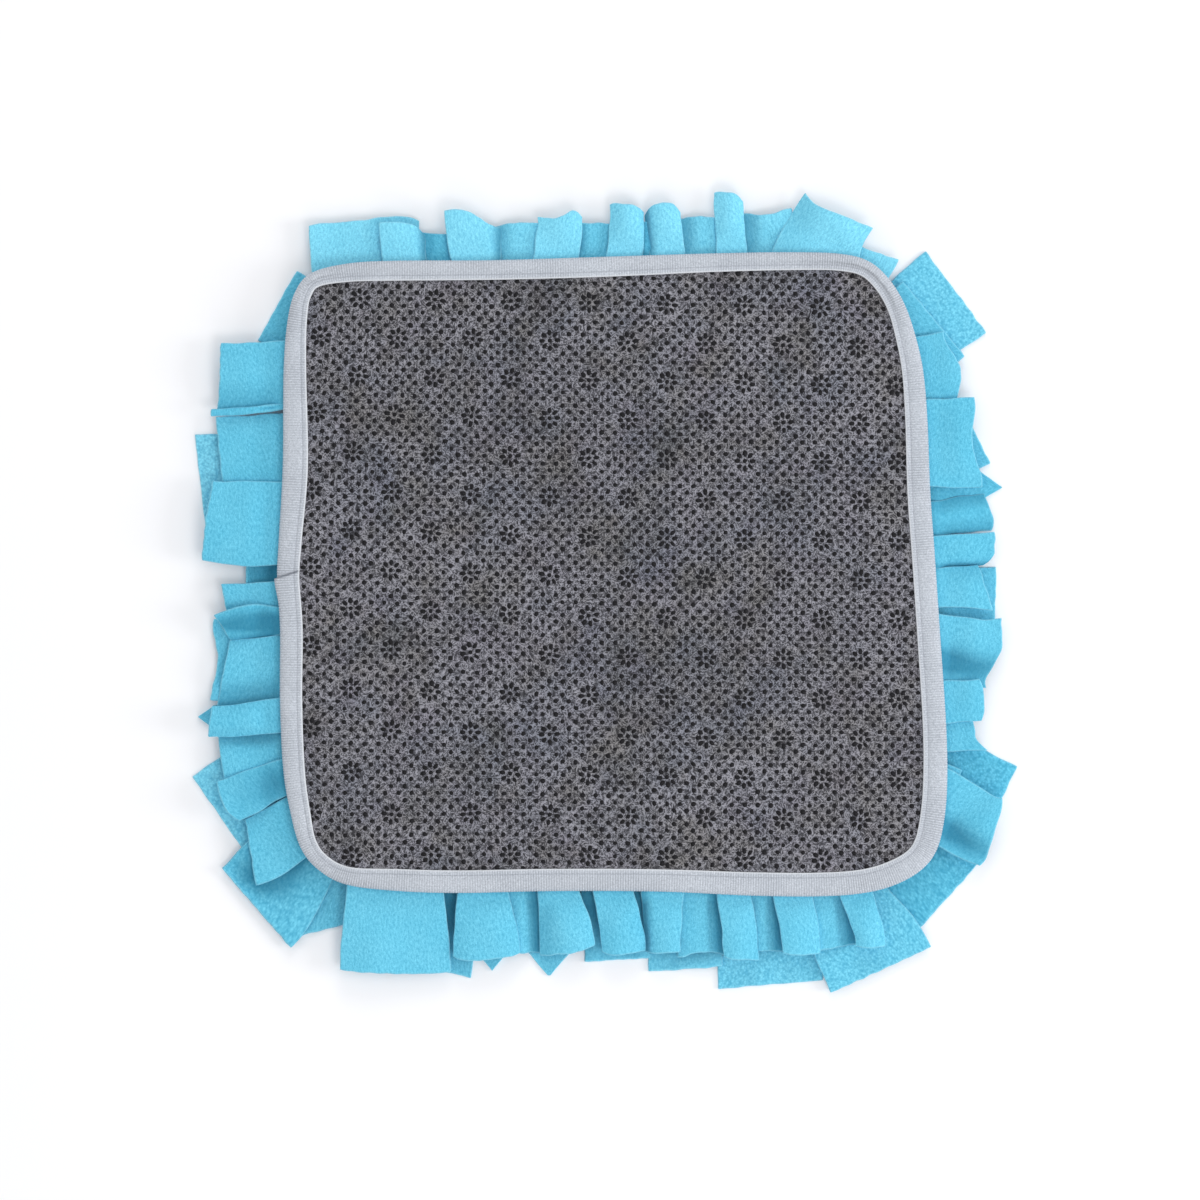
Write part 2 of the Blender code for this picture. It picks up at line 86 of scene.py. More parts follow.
# The slow wave that the pressed-down cloth lies in.
WAVE_SHARES = (0.06, 0.04)
WAVE_TURNS = (47.0, 58.0, 74.0)

# How closely the cloth's surfaces are drawn, and the narrow cells that keep its cut edges crisp.
CELL = 1.5
INNER_CELL = 3.0
EDGE_CELL = 0.45

# Unevenness of the cut cloth: how far its edges waver and its face ripples.
EDGE_WAVER = 0.3
EDGE_WAVER_LONG = 16.0
RIPPLE = 0.4
RIPPLE_LONG = 24.0
NAP_STRAY = 20.0
TONE_STRAY = 0.06
# The share of its side's painted light that a strip takes where its pebbled side is up.
PEBBLED_TONE = 0.35

# Painted shade: the fleece is coloured deeper where a strip dips, fully so where it dips this deep.
# A strip sinks no further than the layer below lets it.
FOLD_SHADE_FULL = 5.0
DEEPEST = {1: 4.5, 2: 2.2, 3: 1.6, 4: 0.5}

# Painted light: each side's strips are coloured a little deeper or paler, by how the light falls on that
# side.
SIDE_PAINTED_LIGHT = {"top": 0.06, "right": 0.85, "bottom": 0.7, "left": 0.85}
PLAIN_TONE = 0.5

# The edge of the bound back, clockwise from the top left, with the width of the tape that shows there.
Edge = namedtuple("Edge", "x y lap")
OUTLINE = (
    Edge(-143, 180.4, 10.0),
    Edge(-118, 182.2, 11.0),
    Edge(-60, 182.6, 10.8),
    Edge(0, 184.5, 11.0),
    Edge(60, 186.4, 10.2),
    Edge(105, 187.0, 9.8),
    Edge(130, 186.0, 9.3),
    Edge(145, 182.0, 9.0),
    Edge(156, 172.5, 9.2),
    Edge(164.5, 159, 9.8),
    Edge(170.5, 142, 10.8),
    Edge(175, 122, 11.6),
    Edge(177.4, 95, 12.2),
    Edge(179, 55, 12.6),
    Edge(181.5, 20, 12.6),
    Edge(184.5, -25, 12.6),
    Edge(187.5, -70, 12.8),
    Edge(188.3, -100, 13.2),
    Edge(187, -122, 13.4),
    Edge(183, -140, 13.2),
    Edge(175, -151.5, 13.0),
    Edge(161, -160, 13.2),
    Edge(143, -165, 13.0),
    Edge(118, -166.9, 13.0),
    Edge(80, -166.5, 12.8),
    Edge(30, -164.3, 12.2),
    Edge(-30, -164, 12.2),
    Edge(-80, -165, 12.4),
    Edge(-115, -163.8, 12.0),
    Edge(-142, -160.3, 9.8),
    Edge(-157.5, -152, 9.0),
    Edge(-167, -140, 9.4),
    Edge(-172.5, -121, 10.8),
    Edge(-176.5, -97, 11.8),
    Edge(-178.3, -60, 12.2),
    Edge(-178.3, -20, 12.4),
    Edge(-179.9, 8, 12.2),
    Edge(-179, 29, 12.6),
    Edge(-176.8, 70, 13.8),
    Edge(-176.3, 122, 12.4),
    Edge(-174, 150, 10.6),
    Edge(-169.5, 166, 9.0),
    Edge(-161, 175.5, 8.6),
)
BACK_MIDDLE = np.array((0.0, 8.0))

# A side's edge line: where it starts, the way along it, and the way out.
Side = namedtuple("Side", "x y along out")
SIDES = {
    "top": Side(0.0, 184.3, (1.0, 0.022), (-0.022, 1.0)),
    "right": Side(183.0, 0.0, (-0.05, 1.0), (1.0, 0.05)),
    "bottom": Side(0.0, -165.0, (1.0, 0.0), (0.0, -1.0)),
    "left": Side(-178.0, 0.0, (0.0, 1.0), (-1.0, 0.0)),
}

# How far the free ends of a side's strips sink towards the floor, between two places along the side.
Fall = namedtuple("Fall", "side start end drop")
FALLS = (
    Fall("top", -140, 100, 3.0),
    Fall("bottom", -105, 30, 2.9),
    Fall("right", -56, 75, 2.9),
)
FALL_FULL = 34.0
FALL_FADE = 26.0

# One strip: its layer; where its middle is along the side and how wide it is, at its root and at its tip;
# how far the tip lies beyond the edge line; the way that the tip points; how much further out the tip's
# + corner is than its - corner; how far both corners are behind the tip's middle; how high it arches, and
# how much of the arch lies by its + edge (or by its - edge, below 0) and not in its middle; how much
# further out its cut end lies at five places across it; the edge that tucks down softly, + or -; how far
# its - edge and its + edge sag; 1 where the cloth's pebbled side is up; how much painted shade deepens its
# colour beyond its neighbours' (below 0, it is paler); how far its - edge and its + edge bow out; how far
# both corners are behind a pointed tip; and its creases.
EVEN = (0, 0, 0, 0, 0)
STRIP_COLUMNS = (
    "layer at wide tip_at tip_wide reach turn slant dome arch high cut soft sag pebbled tint bow point"
    " creases"
)
Strip = namedtuple("Strip", STRIP_COLUMNS, defaults=(0, 0, 0, 0, 0, EVEN, 0, (0, 0), 0, 0, (0, 0), 0, ()))

# A soft trough along a strip: its place across the strip at the tape and at the tip, from -1 to 1, its
# depth there, and its half width as a share of the strip's.
Crease = namedtuple("Crease", "start end deep shallow wide")
PRESSED = (Crease(0, 0, 7, 0, 3),)
STRIPS = {
    "top": (
        Strip(2, -131, 56, -132, 60, 23, slant=2, arch=0.8, cut=(-1.2, -0.4, 0.2, 1.4, -1.8), sag=(0, 1.5)),
        Strip(
            1, -108.5, 23, -111, 24, 20,
            slant=-3, arch=4, high=-0.6, cut=(0, 0.8, 1.3, 0.5, -3.8), soft=1,
        ),
        Strip(2, -89.5, 25, -89.5, 22, 16, cut=(0, -1, -1.5, -1, 0), sag=(3, 2), tint=0.9),
        Strip(1, -69, 24, -72, 30, 22, slant=-8, arch=5, high=-0.6, cut=(1.1, 3.7, 3.3, 0, 0), soft=1),
        Strip(
            2, -50, 28, -49, 27, 19.5,
            arch=1.2, high=0.9, cut=(-2, -0.5, 0.3, 0.3, 0), sag=(4, 0), tint=0.25,
        ),
        Strip(1, -29, 25, -24, 24, 23, slant=2, arch=4, high=0.5, cut=(0.7, -0.7, -0.8, 2, -1.8)),
        Strip(
            2, -10, 22, -7.5, 22, 18.5,
            arch=1.2, high=0.7, cut=(0, 0.4, 0.4, 0.2, -0.3), sag=(3.5, 1), tint=0.6,
        ),
        Strip(2, 23, 18, 23, 18, 19, sag=(5, 5), tint=1),
        Strip(1, 9.6, 21, 13, 17.5, 27.5, slant=-4, arch=6, high=0.2, cut=(-0.4, 0.4, 0.9, 1.3, -1.4)),
        Strip(1, 35.5, 19, 32.6, 19, 28.5, dome=6, arch=6, high=0.4, cut=(0, 0.8, 0.4, 1.6, 1.2), soft=-1),
        Strip(
            2, 53, 26, 53, 26, 20.5,
            arch=1.2, high=0.8, cut=(-0.5, 0.5, 0.8, 0.3, -0.4), sag=(4, 0), tint=0.3,
        ),
        Strip(
            1, 70.6, 16.5, 69, 15, 33.5,
            slant=-3, dome=1, arch=5, high=0.3, cut=(0.3, 0.3, 0.3, 0.4, -2),
        ),
        Strip(
            2, 90, 28, 89, 28, 22,
            slant=2, arch=1.2, high=0.9, cut=(1, 0.3, -0.5, 0.3, 1.7), sag=(4, 0), tint=0.25,
        ),
        Strip(
            1, 113, 49, 129, 41, 22.4,
            turn=35, slant=5.5, arch=3.5, high=-0.2, cut=(0.8, -2.6, -1.9, -1, 0), sag=(1.5, 0),
        ),
        Strip(2, 129, 22, 146, 32, 0.5, turn=20),
    ),
    "right": (
        Strip(4, 132, 38, 164.5, 55, 18.5, turn=34, pebbled=1, tint=0.25),
        Strip(3, 119, 28, 150.3, 53, 5.5, turn=36.6),
        Strip(2, 121, 30, 124.5, 37, 17.5, slant=-3, dome=3, arch=1.2, high=0.6, cut=(0, 1, 0.3, -3, -3)),
        Strip(1, 82.5, 46, 81.5, 49, 25, slant=1, arch=4, high=0.2, cut=(3, 0.4, -2.1, -1.1, 0)),
        Strip(3, 76, 34, 88, 40, 24.5, turn=24),
        Strip(
            2, 38, 17, 43, 20, 31,
            slant=-4, cut=(-1.5, 0.8, 0.6, 0, 0), sag=(1.5, 3.5), pebbled=0.4, tint=0.6,
        ),
        Strip(3, 52, 12.5, 56, 16, 38.5, turn=-5, point=12, pebbled=0.6, tint=0.5),
        Strip(
            1, 22.2, 17.5, 22.5, 17.5, 31,
            slant=2, arch=2.5, high=0.6, cut=(-4.4, 0.6, 1.3, 1.1, 0.9), soft=-1,
        ),
        Strip(
            1, 3.5, 19, 1.2, 24.5, 26.5,
            slant=-5, arch=3.5, high=-0.7, cut=(0.5, 0.3, 0, -0.3, -1), sag=(0, 1.5), bow=(-1.5, 0),
        ),
        Strip(3, 1, 34, -3, 30, 32, slant=2),
        Strip(
            1, -29, 38, -35, 37, 31,
            slant=8, dome=1, arch=4, high=0.8, cut=(-2.3, -2, 1.5, 1.2, 0.4), sag=(1.5, 0),
            creases=(Crease(-0.3, -0.45, 7, 3, 0.36),),
        ),
        Strip(1, -60.4, 23.6, -60, 22, 22.5, dome=2, arch=3.5, high=0.8),
        Strip(2, -79, 17, -79, 17, 18.5, slant=-5, arch=1, high=-0.7, cut=(1.8, -1.4, -1.9, -1, -0.3)),
        Strip(2, -95, 8, -101, 6, 7, turn=-30, arch=1.2),
        Strip(4, -80, 34, -115.5, 40, 29.5, turn=-28, pebbled=1, tint=0.7),
        Strip(
            1, -112, 40, -133, 38, 23.5,
            turn=-14, slant=3, arch=4, high=0.4, cut=(-2, 0.8, 0.5, 0.8, 0),
            creases=(Crease(-0.48, -0.6, 7, 3, 0.34),),
        ),
        Strip(4, -110, 20, -169, 62, -4, turn=-45, pebbled=1, tint=0.7),
    ),
    "bottom": (
        Strip(1, -115, 51, -115, 60, 43.5, slant=1, arch=1.5, cut=(-1, 0.3, 0.8, 0.6, -0.8)),
        Strip(
            1, -67.7, 24, -65, 36, 36,
            slant=-1, dome=1, arch=4.5, high=-0.3, cut=(-0.7, 1.2, 0.4, 0, -1.2),
        ),
        Strip(2, -48, 22, -45, 24, 33, arch=1.2, high=-0.8, sag=(1, 8)),
        Strip(
            1, -28, 18, -20.5, 30, 32,
            slant=-5, arch=4.5, high=0.3, cut=(0, 0.7, 1.2, 1, -1.1), sag=(1.5, 0),
        ),
        Strip(1, 2, 20, 10.6, 23.5, 33, arch=5, high=-0.3, cut=(-0.8, 1.2, 0.8, -0.2, -0.8)),
        Strip(1, 31.5, 25, 32.2, 18.7, 32.5, arch=5, high=0.5, cut=(0, 0.5, 0.3, 0, -0.5), soft=-1),
        Strip(2, 52.5, 17, 55, 29, 34, slant=1, arch=1.2, high=-0.9, cut=(2, 0, -1.6, -1, 2), sag=(0, 9)),
        Strip(1, 69.5, 18, 75, 18.5, 36, slant=1, arch=5, high=-0.6, cut=(-0.6, 0.5, 0.5, 0.3, 0.3)),
        Strip(2, 86, 18, 88, 20, 32, arch=1.2, high=-0.8, sag=(1.5, 7)),
        Strip(1, 100.5, 21, 108.4, 20.3, 33.5, arch=5, high=-0.7, cut=(-0.8, 0.3, 0.3, 0, -0.6)),
        Strip(
            2, 120, 24, 126, 28, 30,
            slant=-4, arch=1.2, high=-0.8, cut=(-0.5, 0.6, 0.3, 0, 0), sag=(0, 7),
        ),
        Strip(1, 133.5, 18, 146, 15.6, 29.5, arch=5, high=-0.5, cut=(-0.5, 0.3, 0.3, 0, -0.3)),
        Strip(3, 112, 34, 152, 60, 42.5, turn=24.7, pebbled=1, tint=0.3),
        Strip(3, -88, 28, -88.5, 30, 43.5, turn=-6, slant=3.5, creases=PRESSED),
        Strip(3, -61.5, 20, -62, 23, 43, point=14, creases=PRESSED),
        Strip(3, -32, 26, -30.5, 30, 46.5, point=18, creases=PRESSED),
        Strip(3, 4, 40, 7.5, 36, 37, slant=-2, pebbled=0.5, creases=PRESSED),
        Strip(3, 48, 34, 44.5, 40, 42, slant=-3, pebbled=0.6, creases=PRESSED),
        Strip(4, 90, 52, 91.5, 57, 50.5, slant=-5, pebbled=1, tint=0.2),
        Strip(4, -107, 20, -149, 34, 19, turn=-8, slant=-14),
    ),
    "left": (
        Strip(4, 127, 32, 158, 43, 2, turn=29),
        Strip(1, 121, 35, 118.5, 36, 33.5, slant=-2, arch=2, cut=(0.3, -0.3, -0.4, 0, 0), sag=(2, 0)),
        Strip(1, 103.2, 2.8, 98.9, 3.2, 38, arch=1.6, sag=(-1.2, -1.2), tint=0.3),
        Strip(2, 79, 42, 76.5, 40, 33.5, slant=4, arch=0.8),
        Strip(4, 60, 48, 61, 52, 44.5, slant=6, pebbled=1, tint=-0.25),
        Strip(
            1, 37.5, 46, 39.5, 43, 40.5,
            slant=-6, arch=3, high=0.2, cut=(-0.5, 0, 0.4, 0, -0.5), bow=(2, 0),
        ),
        Strip(3, 9, 16, 9, 14, 19, tint=0.4, creases=PRESSED),
        Strip(2, -1, 18, -3, 15, 31, slant=3, arch=1),
        Strip(
            1, -13.5, 15, -19.5, 14, 31.5,
            slant=9, arch=6, high=0.7, soft=-1, tint=0.3, bow=(0, 4),
            creases=(Crease(-0.1, 0.2, 10, 5, 0.6),),
        ),
        Strip(2, -39, 36, -44.5, 36, 31.5, slant=-7, arch=0.8, sag=(3.5, 0)),
        Strip(3, -36, 40, -37, 44, 36.5, cut=(2, 0, -1.9, -0.5, 0.3)),
        Strip(1, -66, 20, -71, 16, 38.5, slant=-2, arch=4),
        Strip(4, -30, 16, -68.5, 12, 45.5, point=8),
        Strip(2, -88, 28, -89, 28, 33, slant=4, arch=0.8, sag=(0, 3.5)),
        Strip(
            1, -98, 17, -115, 24, 30,
            turn=-20, slant=3, arch=4, high=-0.5, cut=(-2, 1.2, 1.8, 1.2, -0.5),
            creases=(Crease(-0.2, -0.2, 4.5, 0, 1.1),),
        ),
        Strip(4, -78, 36, -121, 48, 35, turn=-35, pebbled=1),
        Strip(2, -121, 32, -143, 36, 16.5, turn=-20, slant=-7),
        Strip(
            3, -120, 36, -173.5, 57, 13.5,
            turn=-46, slant=-5, pebbled=1, tint=0.5, creases=(Crease(0.2, 0.5, 10, 0, 0.5),),
        ),
    ),
}

# The printed grip of the back: a staggered square lattice of dots with a flower at every third dot. Its
# places are counted in half steps between flowers, to the right and down from the flower nearest the
# middle. The cloth is stretched unevenly: each step is narrower than the one on its left, each row is
# deeper than the one above it, and the rows drop to the right and rise a little at both ends.
FLOWER_COLUMNS = range(-8, 9)
FLOWER_ROWS = range(-8, 9)
DOTS_TO_A_STEP = 3
PRINT_X = 12.9
PRINT_Y = 8.5
STEP_ACROSS = 21.5
STEP_DOWN = 21.7
STEP_NARROWS = 0.075
ROW_DEEPENS = 0.07
ROW_DROP = 0.45
ROW_BOW = 0.03
DOT_WIDE = 2.75
DOT_HIGH = 0.55
DOT_SIDES = 10
DOT_STRAY = 0.16
DOT_SHIFT = 0.13
DOT_SEED = 5
DOT_MARGIN = 0.4
PETALS = 8
PETAL_OUT = 4.25
PETAL_LONG = 3.6
PETAL_WIDE = 2.4
FLOWER_CLEAR = 8.6
FLOWER_MARGIN = 0.5
GRIP_SINK = 0.12

# Where the cloth was pulled as it was bound, and its print with it: the middle of the pull, how far it
# goes to the right and up, and how far it reaches.
Pull = namedtuple("Pull", "x y right up wide")
PULLS = (
    Pull(-160, 155, 6.0, -2.2, 70),
    Pull(-150, -150, 1.0, -4.5, 60),
    Pull(165, 140, -1.6, -1.4, 55),
)

# The folded tape: how far its stitch groove lies from its inner edge, the ribs of its weave, and the
# stitches in the groove. Its two ends lap over each other on the left, along a slanting line.
UNDER_LAP = 10.5
GROOVE_IN = 2.7
RIB_PITCH = 1.4
RIB_HIGH = 0.09
STATIONS_TO_A_RIB = 4
STITCH_PITCH = 3.1
STITCH_SINK = 0.42
STITCH_LONG = 2.1
STITCH_THICK = 0.34
JOIN_X = -179.9
JOIN_Y = 8.0
JOIN_THICK = 1.1
JOIN_BULGE = 1.5
# How wide the painted shadow along that step is.
JOIN_SHADOW_WIDE = 0.8
JOIN_LONG = 16.0
JOIN_SLANT = 0.33


class Value:
    """One output socket of a node. Python's operators work on it, and each adds its Math node."""

    def __init__(self, tree, socket):
        self.tree = tree
        self.socket = socket

    def maths(self, operation, first, second=0.0):
        return self.tree.add("ShaderNodeMath", {"operation": operation}, {0: first, 1: second})

    def __add__(self, other):
        return self.maths("ADD", self, other)

    def __radd__(self, other):
        return self.maths("ADD", other, self)

    def __sub__(self, other):
        return self.maths("SUBTRACT", self, other)

    def __rsub__(self, other):
        return self.maths("SUBTRACT", other, self)

    def __mul__(self, other):
        return self.maths("MULTIPLY", self, other)

    def __rmul__(self, other):
        return self.maths("MULTIPLY", other, self)

    def __truediv__(self, other):
        return self.maths("DIVIDE", self, other)

    def sine(self):
        return self.maths("SINE", self)

    def absolute(self):
        return self.maths("ABSOLUTE", self)

    def larger(self, other):
        return self.maths("MAXIMUM", self, other)


class Tree:
    """A node tree that is written as Python values."""

    def __init__(self, nodes):
        self.nodes = nodes

    def add(self, kind, settings, sockets, output=0):
        """Adds a node with its settings, then its sockets' values or links, and gives one of its outputs."""
        node = self.nodes.nodes.new(kind)
        for name, value in settings.items():
            setattr(node, name, value)
        for key, value in sockets.items():
            if isinstance(value, Value):
                self.nodes.links.new(value.socket, node.inputs[key])
            else:
                node.inputs[key].default_value = value
        return Value(self, node.outputs[output])

    def noise(self, place, size, detail=2.0, roughness=0.5, stretch=(1, 1, 1), turn=0.0):
        """A soft random field whose lumps are so many millimetres across along each axis."""
        scale = tuple(1 / (size * MM * s) for s in stretch)
        turned = self.add("ShaderNodeMapping", {}, {
            "Vector": place,
            "Rotation": (0, 0, math.radians(turn)),
        })
        drawn = self.add("ShaderNodeMapping", {}, {"Vector": turned, "Scale": scale})
        return self.add("ShaderNodeTexNoise", {}, {
            "Vector": drawn,
            "Scale": 1.0,
            "Detail": detail,
            "Roughness": roughness,
        })

    def between(self, value, low, high):
        """Spreads the values from low to high over 0 to 1."""
        return self.add("ShaderNodeMapRange", {"clamp": True}, {
            "Value": value,
            "From Min": low,
            "From Max": high,
        })

    def blend(self, factor, first, second, way="MIX"):
        """Mixes two colours."""
        return self.add("ShaderNodeMix", {"data_type": "RGBA", "blend_type": way}, {
            0: factor,
            6: first,
            7: second,
        }, 2)

    def mark(self, name):
        """A number that the mesh carries at each of its points."""
        return self.add("ShaderNodeAttribute", {"attribute_name": name}, {}, 2)


def finish(name, constants, colour, height, bump, depth, roughness=None):
    """A Principled material: its constants, and the colour, height and roughness that vary over it."""
    made = bpy.data.materials.new(name)
    made.use_nodes = True
    shader = made.node_tree.nodes["Principled BSDF"]
    for key, value in constants.items():
        shader.inputs[key].default_value = value
    tree = Tree(made.node_tree)
    links = made.node_tree.links
    links.new(colour(tree).socket, shader.inputs["Base Color"])
    if roughness:
        links.new(roughness(tree).socket, shader.inputs["Roughness"])
    relief = tree.add("ShaderNodeBump", {}, {
        "Strength": bump,
        "Distance": depth * MM,
        "Height": height(tree),
    })
    links.new(relief.socket, shader.inputs["Normal"])
    return made


def linear(red, green, blue):
    """A colour given as the eye reads it, from 0 to 255, as the light that a shader works in."""
    return (*(((c / 255 + 0.055) / 1.055) ** 2.4 for c in (red, green, blue)), 1.0)


def cloth_place(tree):
    """Places on the flat cloth, in metres: across the strip, then along it."""
    return tree.add("ShaderNodeUVMap", {"uv_map": "cloth"}, {})


def object_place(tree):
    return tree.add("ShaderNodeTexCoord", {}, {}, 3)


def nap(tree):
    """The brushed nap of the fleece: short soft tufts that lie one way, over finer down."""
    place = cloth_place(tree)
    tufts = tree.noise(place, 1.4, detail=2.0, roughness=0.65, stretch=(1.5, 0.9, 1))
    down = tree.noise(place, 0.7, detail=2.0, roughness=0.6)
    return tufts * 0.6 + down * 0.4


def pebbles(tree):
    """The other side of the fleece, rougher, with low round pills."""
    place = cloth_place(tree)
    lumps = tree.noise(place, 1.8, detail=2.0, roughness=0.7)
    pills = tree.add("ShaderNodeTexVoronoi", {"feature": "SMOOTH_F1"}, {
        "Vector": place,
        "Scale": 1 / (1.3 * MM),
        "Smoothness": 0.5,
    })
    return lumps * 0.65 + (1 - pills) * 0.35


def fleece_colour(tree):
    soft = tree.between(nap(tree), 0.34, 0.66)
    rough = tree.between(pebbles(tree), 0.36, 0.7)
    pebbled = tree.mark("pebbled")
    texture = soft * (1 - pebbled) + rough * pebbled
    # Lit and shaded copies of the fleece's colour, blended by each side's painted light, each strip's
    # painted shade, a random stray and a slow random drift.
    pale = tree.blend(texture, linear(101, 187, 218), linear(145, 230, 253))
    deep = tree.blend(texture, linear(69, 163, 196), linear(108, 203, 232))
    worn = tree.between(tree.noise(object_place(tree), 18), 0.3, 0.7)
    cloth = tree.blend(tree.mark("tone") + worn * 0.2 - 0.1, pale, deep)
    # Painted shade: the fleece is darkened where the strip dips.
    cloth = tree.blend(tree.mark("fold_shade") * 0.75, cloth, linear(38, 120, 152))
    # Painted highlight: the fleece is paler along its cut edges.
    return tree.blend(tree.mark("cut_edge_highlight") * 0.3, cloth, linear(150, 214, 232))


def fleece_height(tree):
    pebbled = tree.mark("pebbled")
    return nap(tree) + pebbles(tree) * pebbled * 0.8


def fleece():
    constants = {
        "Roughness": 0.95,
        "Specular IOR Level": 0.2,
        "Sheen Weight": 0.25,
        "Sheen Roughness": 0.45,
        "Sheen Tint": linear(190, 240, 255),
    }
    return finish("fleece", constants, fleece_colour, fleece_height, bump=0.55, depth=0.5)


HAIR_TURNS = (8, 52, 97, 141)


def hairs(tree):
    """Pale fibres that lie every way in the felt."""
    place = object_place(tree)
    found = None
    for number, turn in enumerate(HAIR_TURNS):
        field = tree.noise(place, 0.62, detail=1.0, stretch=(1, 4.0, 3 + number), turn=turn)
        lying = tree.between(field, 0.56, 0.68)
        found = lying if found is None else found.larger(lying)
    return found


def felt_colour(tree):
    place = object_place(tree)
    grain = tree.between(tree.noise(place, 1.1, detail=3.0, roughness=0.7), 0.3, 0.7)
    grey = tree.blend(grain, linear(37, 37, 41), linear(80, 80, 86))
    grey = tree.blend(hairs(tree) * 0.72, grey, linear(172, 172, 182))
    warm = tree.between(tree.noise(place, 26, detail=3.0, roughness=0.6), 0.45, 0.68)
    cool = tree.between(tree.noise(place, 31, detail=3.0, roughness=0.6, turn=40), 0.46, 0.7)
    purple = tree.between(tree.noise(place, 22, detail=3.0, roughness=0.6, turn=75), 0.5, 0.72)
    grey = tree.blend(warm * 0.55, grey, linear(206, 200, 178), "MULTIPLY")
    grey = tree.blend(cool * 0.55, grey, linear(196, 208, 220), "MULTIPLY")
    return tree.blend(purple * 0.3, grey, linear(206, 192, 212), "MULTIPLY")


def felt_height(tree):
    return hairs(tree) + tree.noise(object_place(tree), 0.9, detail=3.0)


def felt():
    constants = {"Roughness": 0.95, "Specular IOR Level": 0.2, "Sheen Weight": 0.1}
    return finish("felt", constants, felt_colour, felt_height, bump=0.5, depth=0.25)


def grip_colour(tree):
    wear = tree.between(tree.noise(object_place(tree), 1.2, detail=3.0), 0.35, 0.75)
    return tree.blend(wear, linear(4, 4, 7), linear(22, 21, 28))


def grip_height(tree):
    return tree.noise(object_place(tree), 0.5)


def grip():
    constants = {"Roughness": 0.5, "Specular IOR Level": 0.22}
    return finish("grip_print", constants, grip_colour, grip_height, bump=0.25, depth=0.1)


def ribs(tree):
    """1 on the crest of a rib of the tape and 0 between two."""
    run = tree.mark("run")
    return (run * (2 * math.pi / RIB_PITCH)).sine() * 0.5 + 0.5


def tape_colour(tree):
    place = object_place(tree)
    inward = tree.mark("from_inner")
    grain = tree.between(tree.noise(place, 0.8, detail=3.0, roughness=0.7), 0.3, 0.7)
    body = tree.blend(grain, linear(158, 164, 173), linear(214, 220, 229))
    dye = tree.between(tree.noise(place, 45, detail=1.0), 0.3, 0.7)
    body = tree.blend(dye * 0.2, body, linear(190, 197, 206))
    # Painted shade: the tape is darker between its ribs, by a share that drifts along it.
    rib_shade_share = tree.between(tree.noise(place, 24, detail=1.0), 0.35, 0.65) * 0.35 + 0.2
    body = tree.blend((1 - ribs(tree)) * rib_shade_share, body, linear(132, 137, 147))
    # Painted shade: the tape is darker in its stitch groove.
    groove = 1 - tree.between((inward - GROOVE_IN).absolute(), 0.1, 0.5)
    body = tree.blend(groove * 0.4, body, linear(120, 125, 136))
    # Painted shadow: a dark line along the step where the tape's ends lap.
    body = tree.blend(tree.mark("join_shadow") * 0.75, body, linear(100, 105, 116))
    # Painted highlight: the tape is paler along its inner edge.
    lip_highlight = 1 - tree.between(inward, 0.4, 0.8)
    return tree.blend(lip_highlight * 0.7, body, linear(218, 222, 228))


def tape_height(tree):
    return ribs(tree) * 0.9 + tree.noise(object_place(tree), 0.6, detail=2.0)


def tape():
    constants = {"Roughness": 0.85, "Specular IOR Level": 0.3, "Sheen Weight": 0.1}
    return finish("tape", constants, tape_colour, tape_height, bump=0.4, depth=0.2)


def thread_colour(tree):
    twist = tree.between(tree.noise(object_place(tree), 0.35), 0.3, 0.7)
    return tree.blend(twist, linear(150, 152, 162), linear(206, 207, 214))


def thread_height(tree):
    return tree.noise(object_place(tree), 0.3)


def thread():
    constants = {"Roughness": 0.6, "Specular IOR Level": 0.4}
    return finish("thread", constants, thread_colour, thread_height, bump=0.3, depth=0.1)


def floor_colour(tree):
    cloud = tree.noise(object_place(tree), 400)
    return tree.blend(cloud, linear(243, 244, 247), linear(245, 245, 248))


def floor_height(tree):
    return tree.noise(object_place(tree), 3)


def paper():
    constants = {"Roughness": 0.9, "Specular IOR Level": 0.1}
    return finish("pale_floor", constants, floor_colour, floor_height, bump=0.02, depth=0.1)


def smooth(t):
    t = np.clip(t, 0.0, 1.0)
    return t * t * (3 - 2 * t)


def lie(x, y):
    """The height of the pressed-down cloth at a place, as a share of its even height."""
    ripple = WAVE_SHARES[0] * np.sin(x / WAVE_TURNS[0] + 0.6) * np.cos(y / WAVE_TURNS[1])
    return 1 + ripple + WAVE_SHARES[1] * np.sin((x + 1.6 * y) / WAVE_TURNS[2])


def waver(seed, x, y, long, waves=5):
    """A smooth field between about -1 and 1 from a few waves in random directions, the same each run."""
    total = 0.0
    for turn, phase, stretch in np.random.default_rng(seed).uniform(size=(waves, 3)):
        angle = 2 * math.pi * turn
        across = (x * math.cos(angle) + y * math.sin(angle)) / (long * (0.7 + 0.6 * stretch))
        total = total + np.sin(2 * math.pi * (across + phase))
    return total / math.sqrt(2 * waves)


def side_point(side, along, out):
    """The plan position of a point so far along a side and so far out from its edge line."""
    return (
        side.x + along * side.along[0] + out * side.out[0],
        side.y + along * side.along[1] + out * side.out[1],
    )


def fall(x, y):
    """How far the strips have sunk at a plan position outside the back."""
    total = 0.0
    for row in FALLS:
        side = SIDES[row.side]
        along = (x - side.x) * side.along[0] + (y - side.y) * side.along[1]
        out = (x - side.x) * side.out[0] + (y - side.y) * side.out[1]
        inside = smooth((along - row.start) / FALL_FADE + 1) * smooth((row.end - along) / FALL_FADE + 1)
        total = total + row.drop * inside * smooth(out / FALL_FULL)
    return total


def rise_across(u, high):
    """The height of an arched strip across it, as a share of its arch: even, or higher by one edge."""
    from_high = (1 - u * math.copysign(1.0, high)) / 2
    return abs(high) * (1 - from_high**2) + (1 - abs(high)) * (1 - u**2)


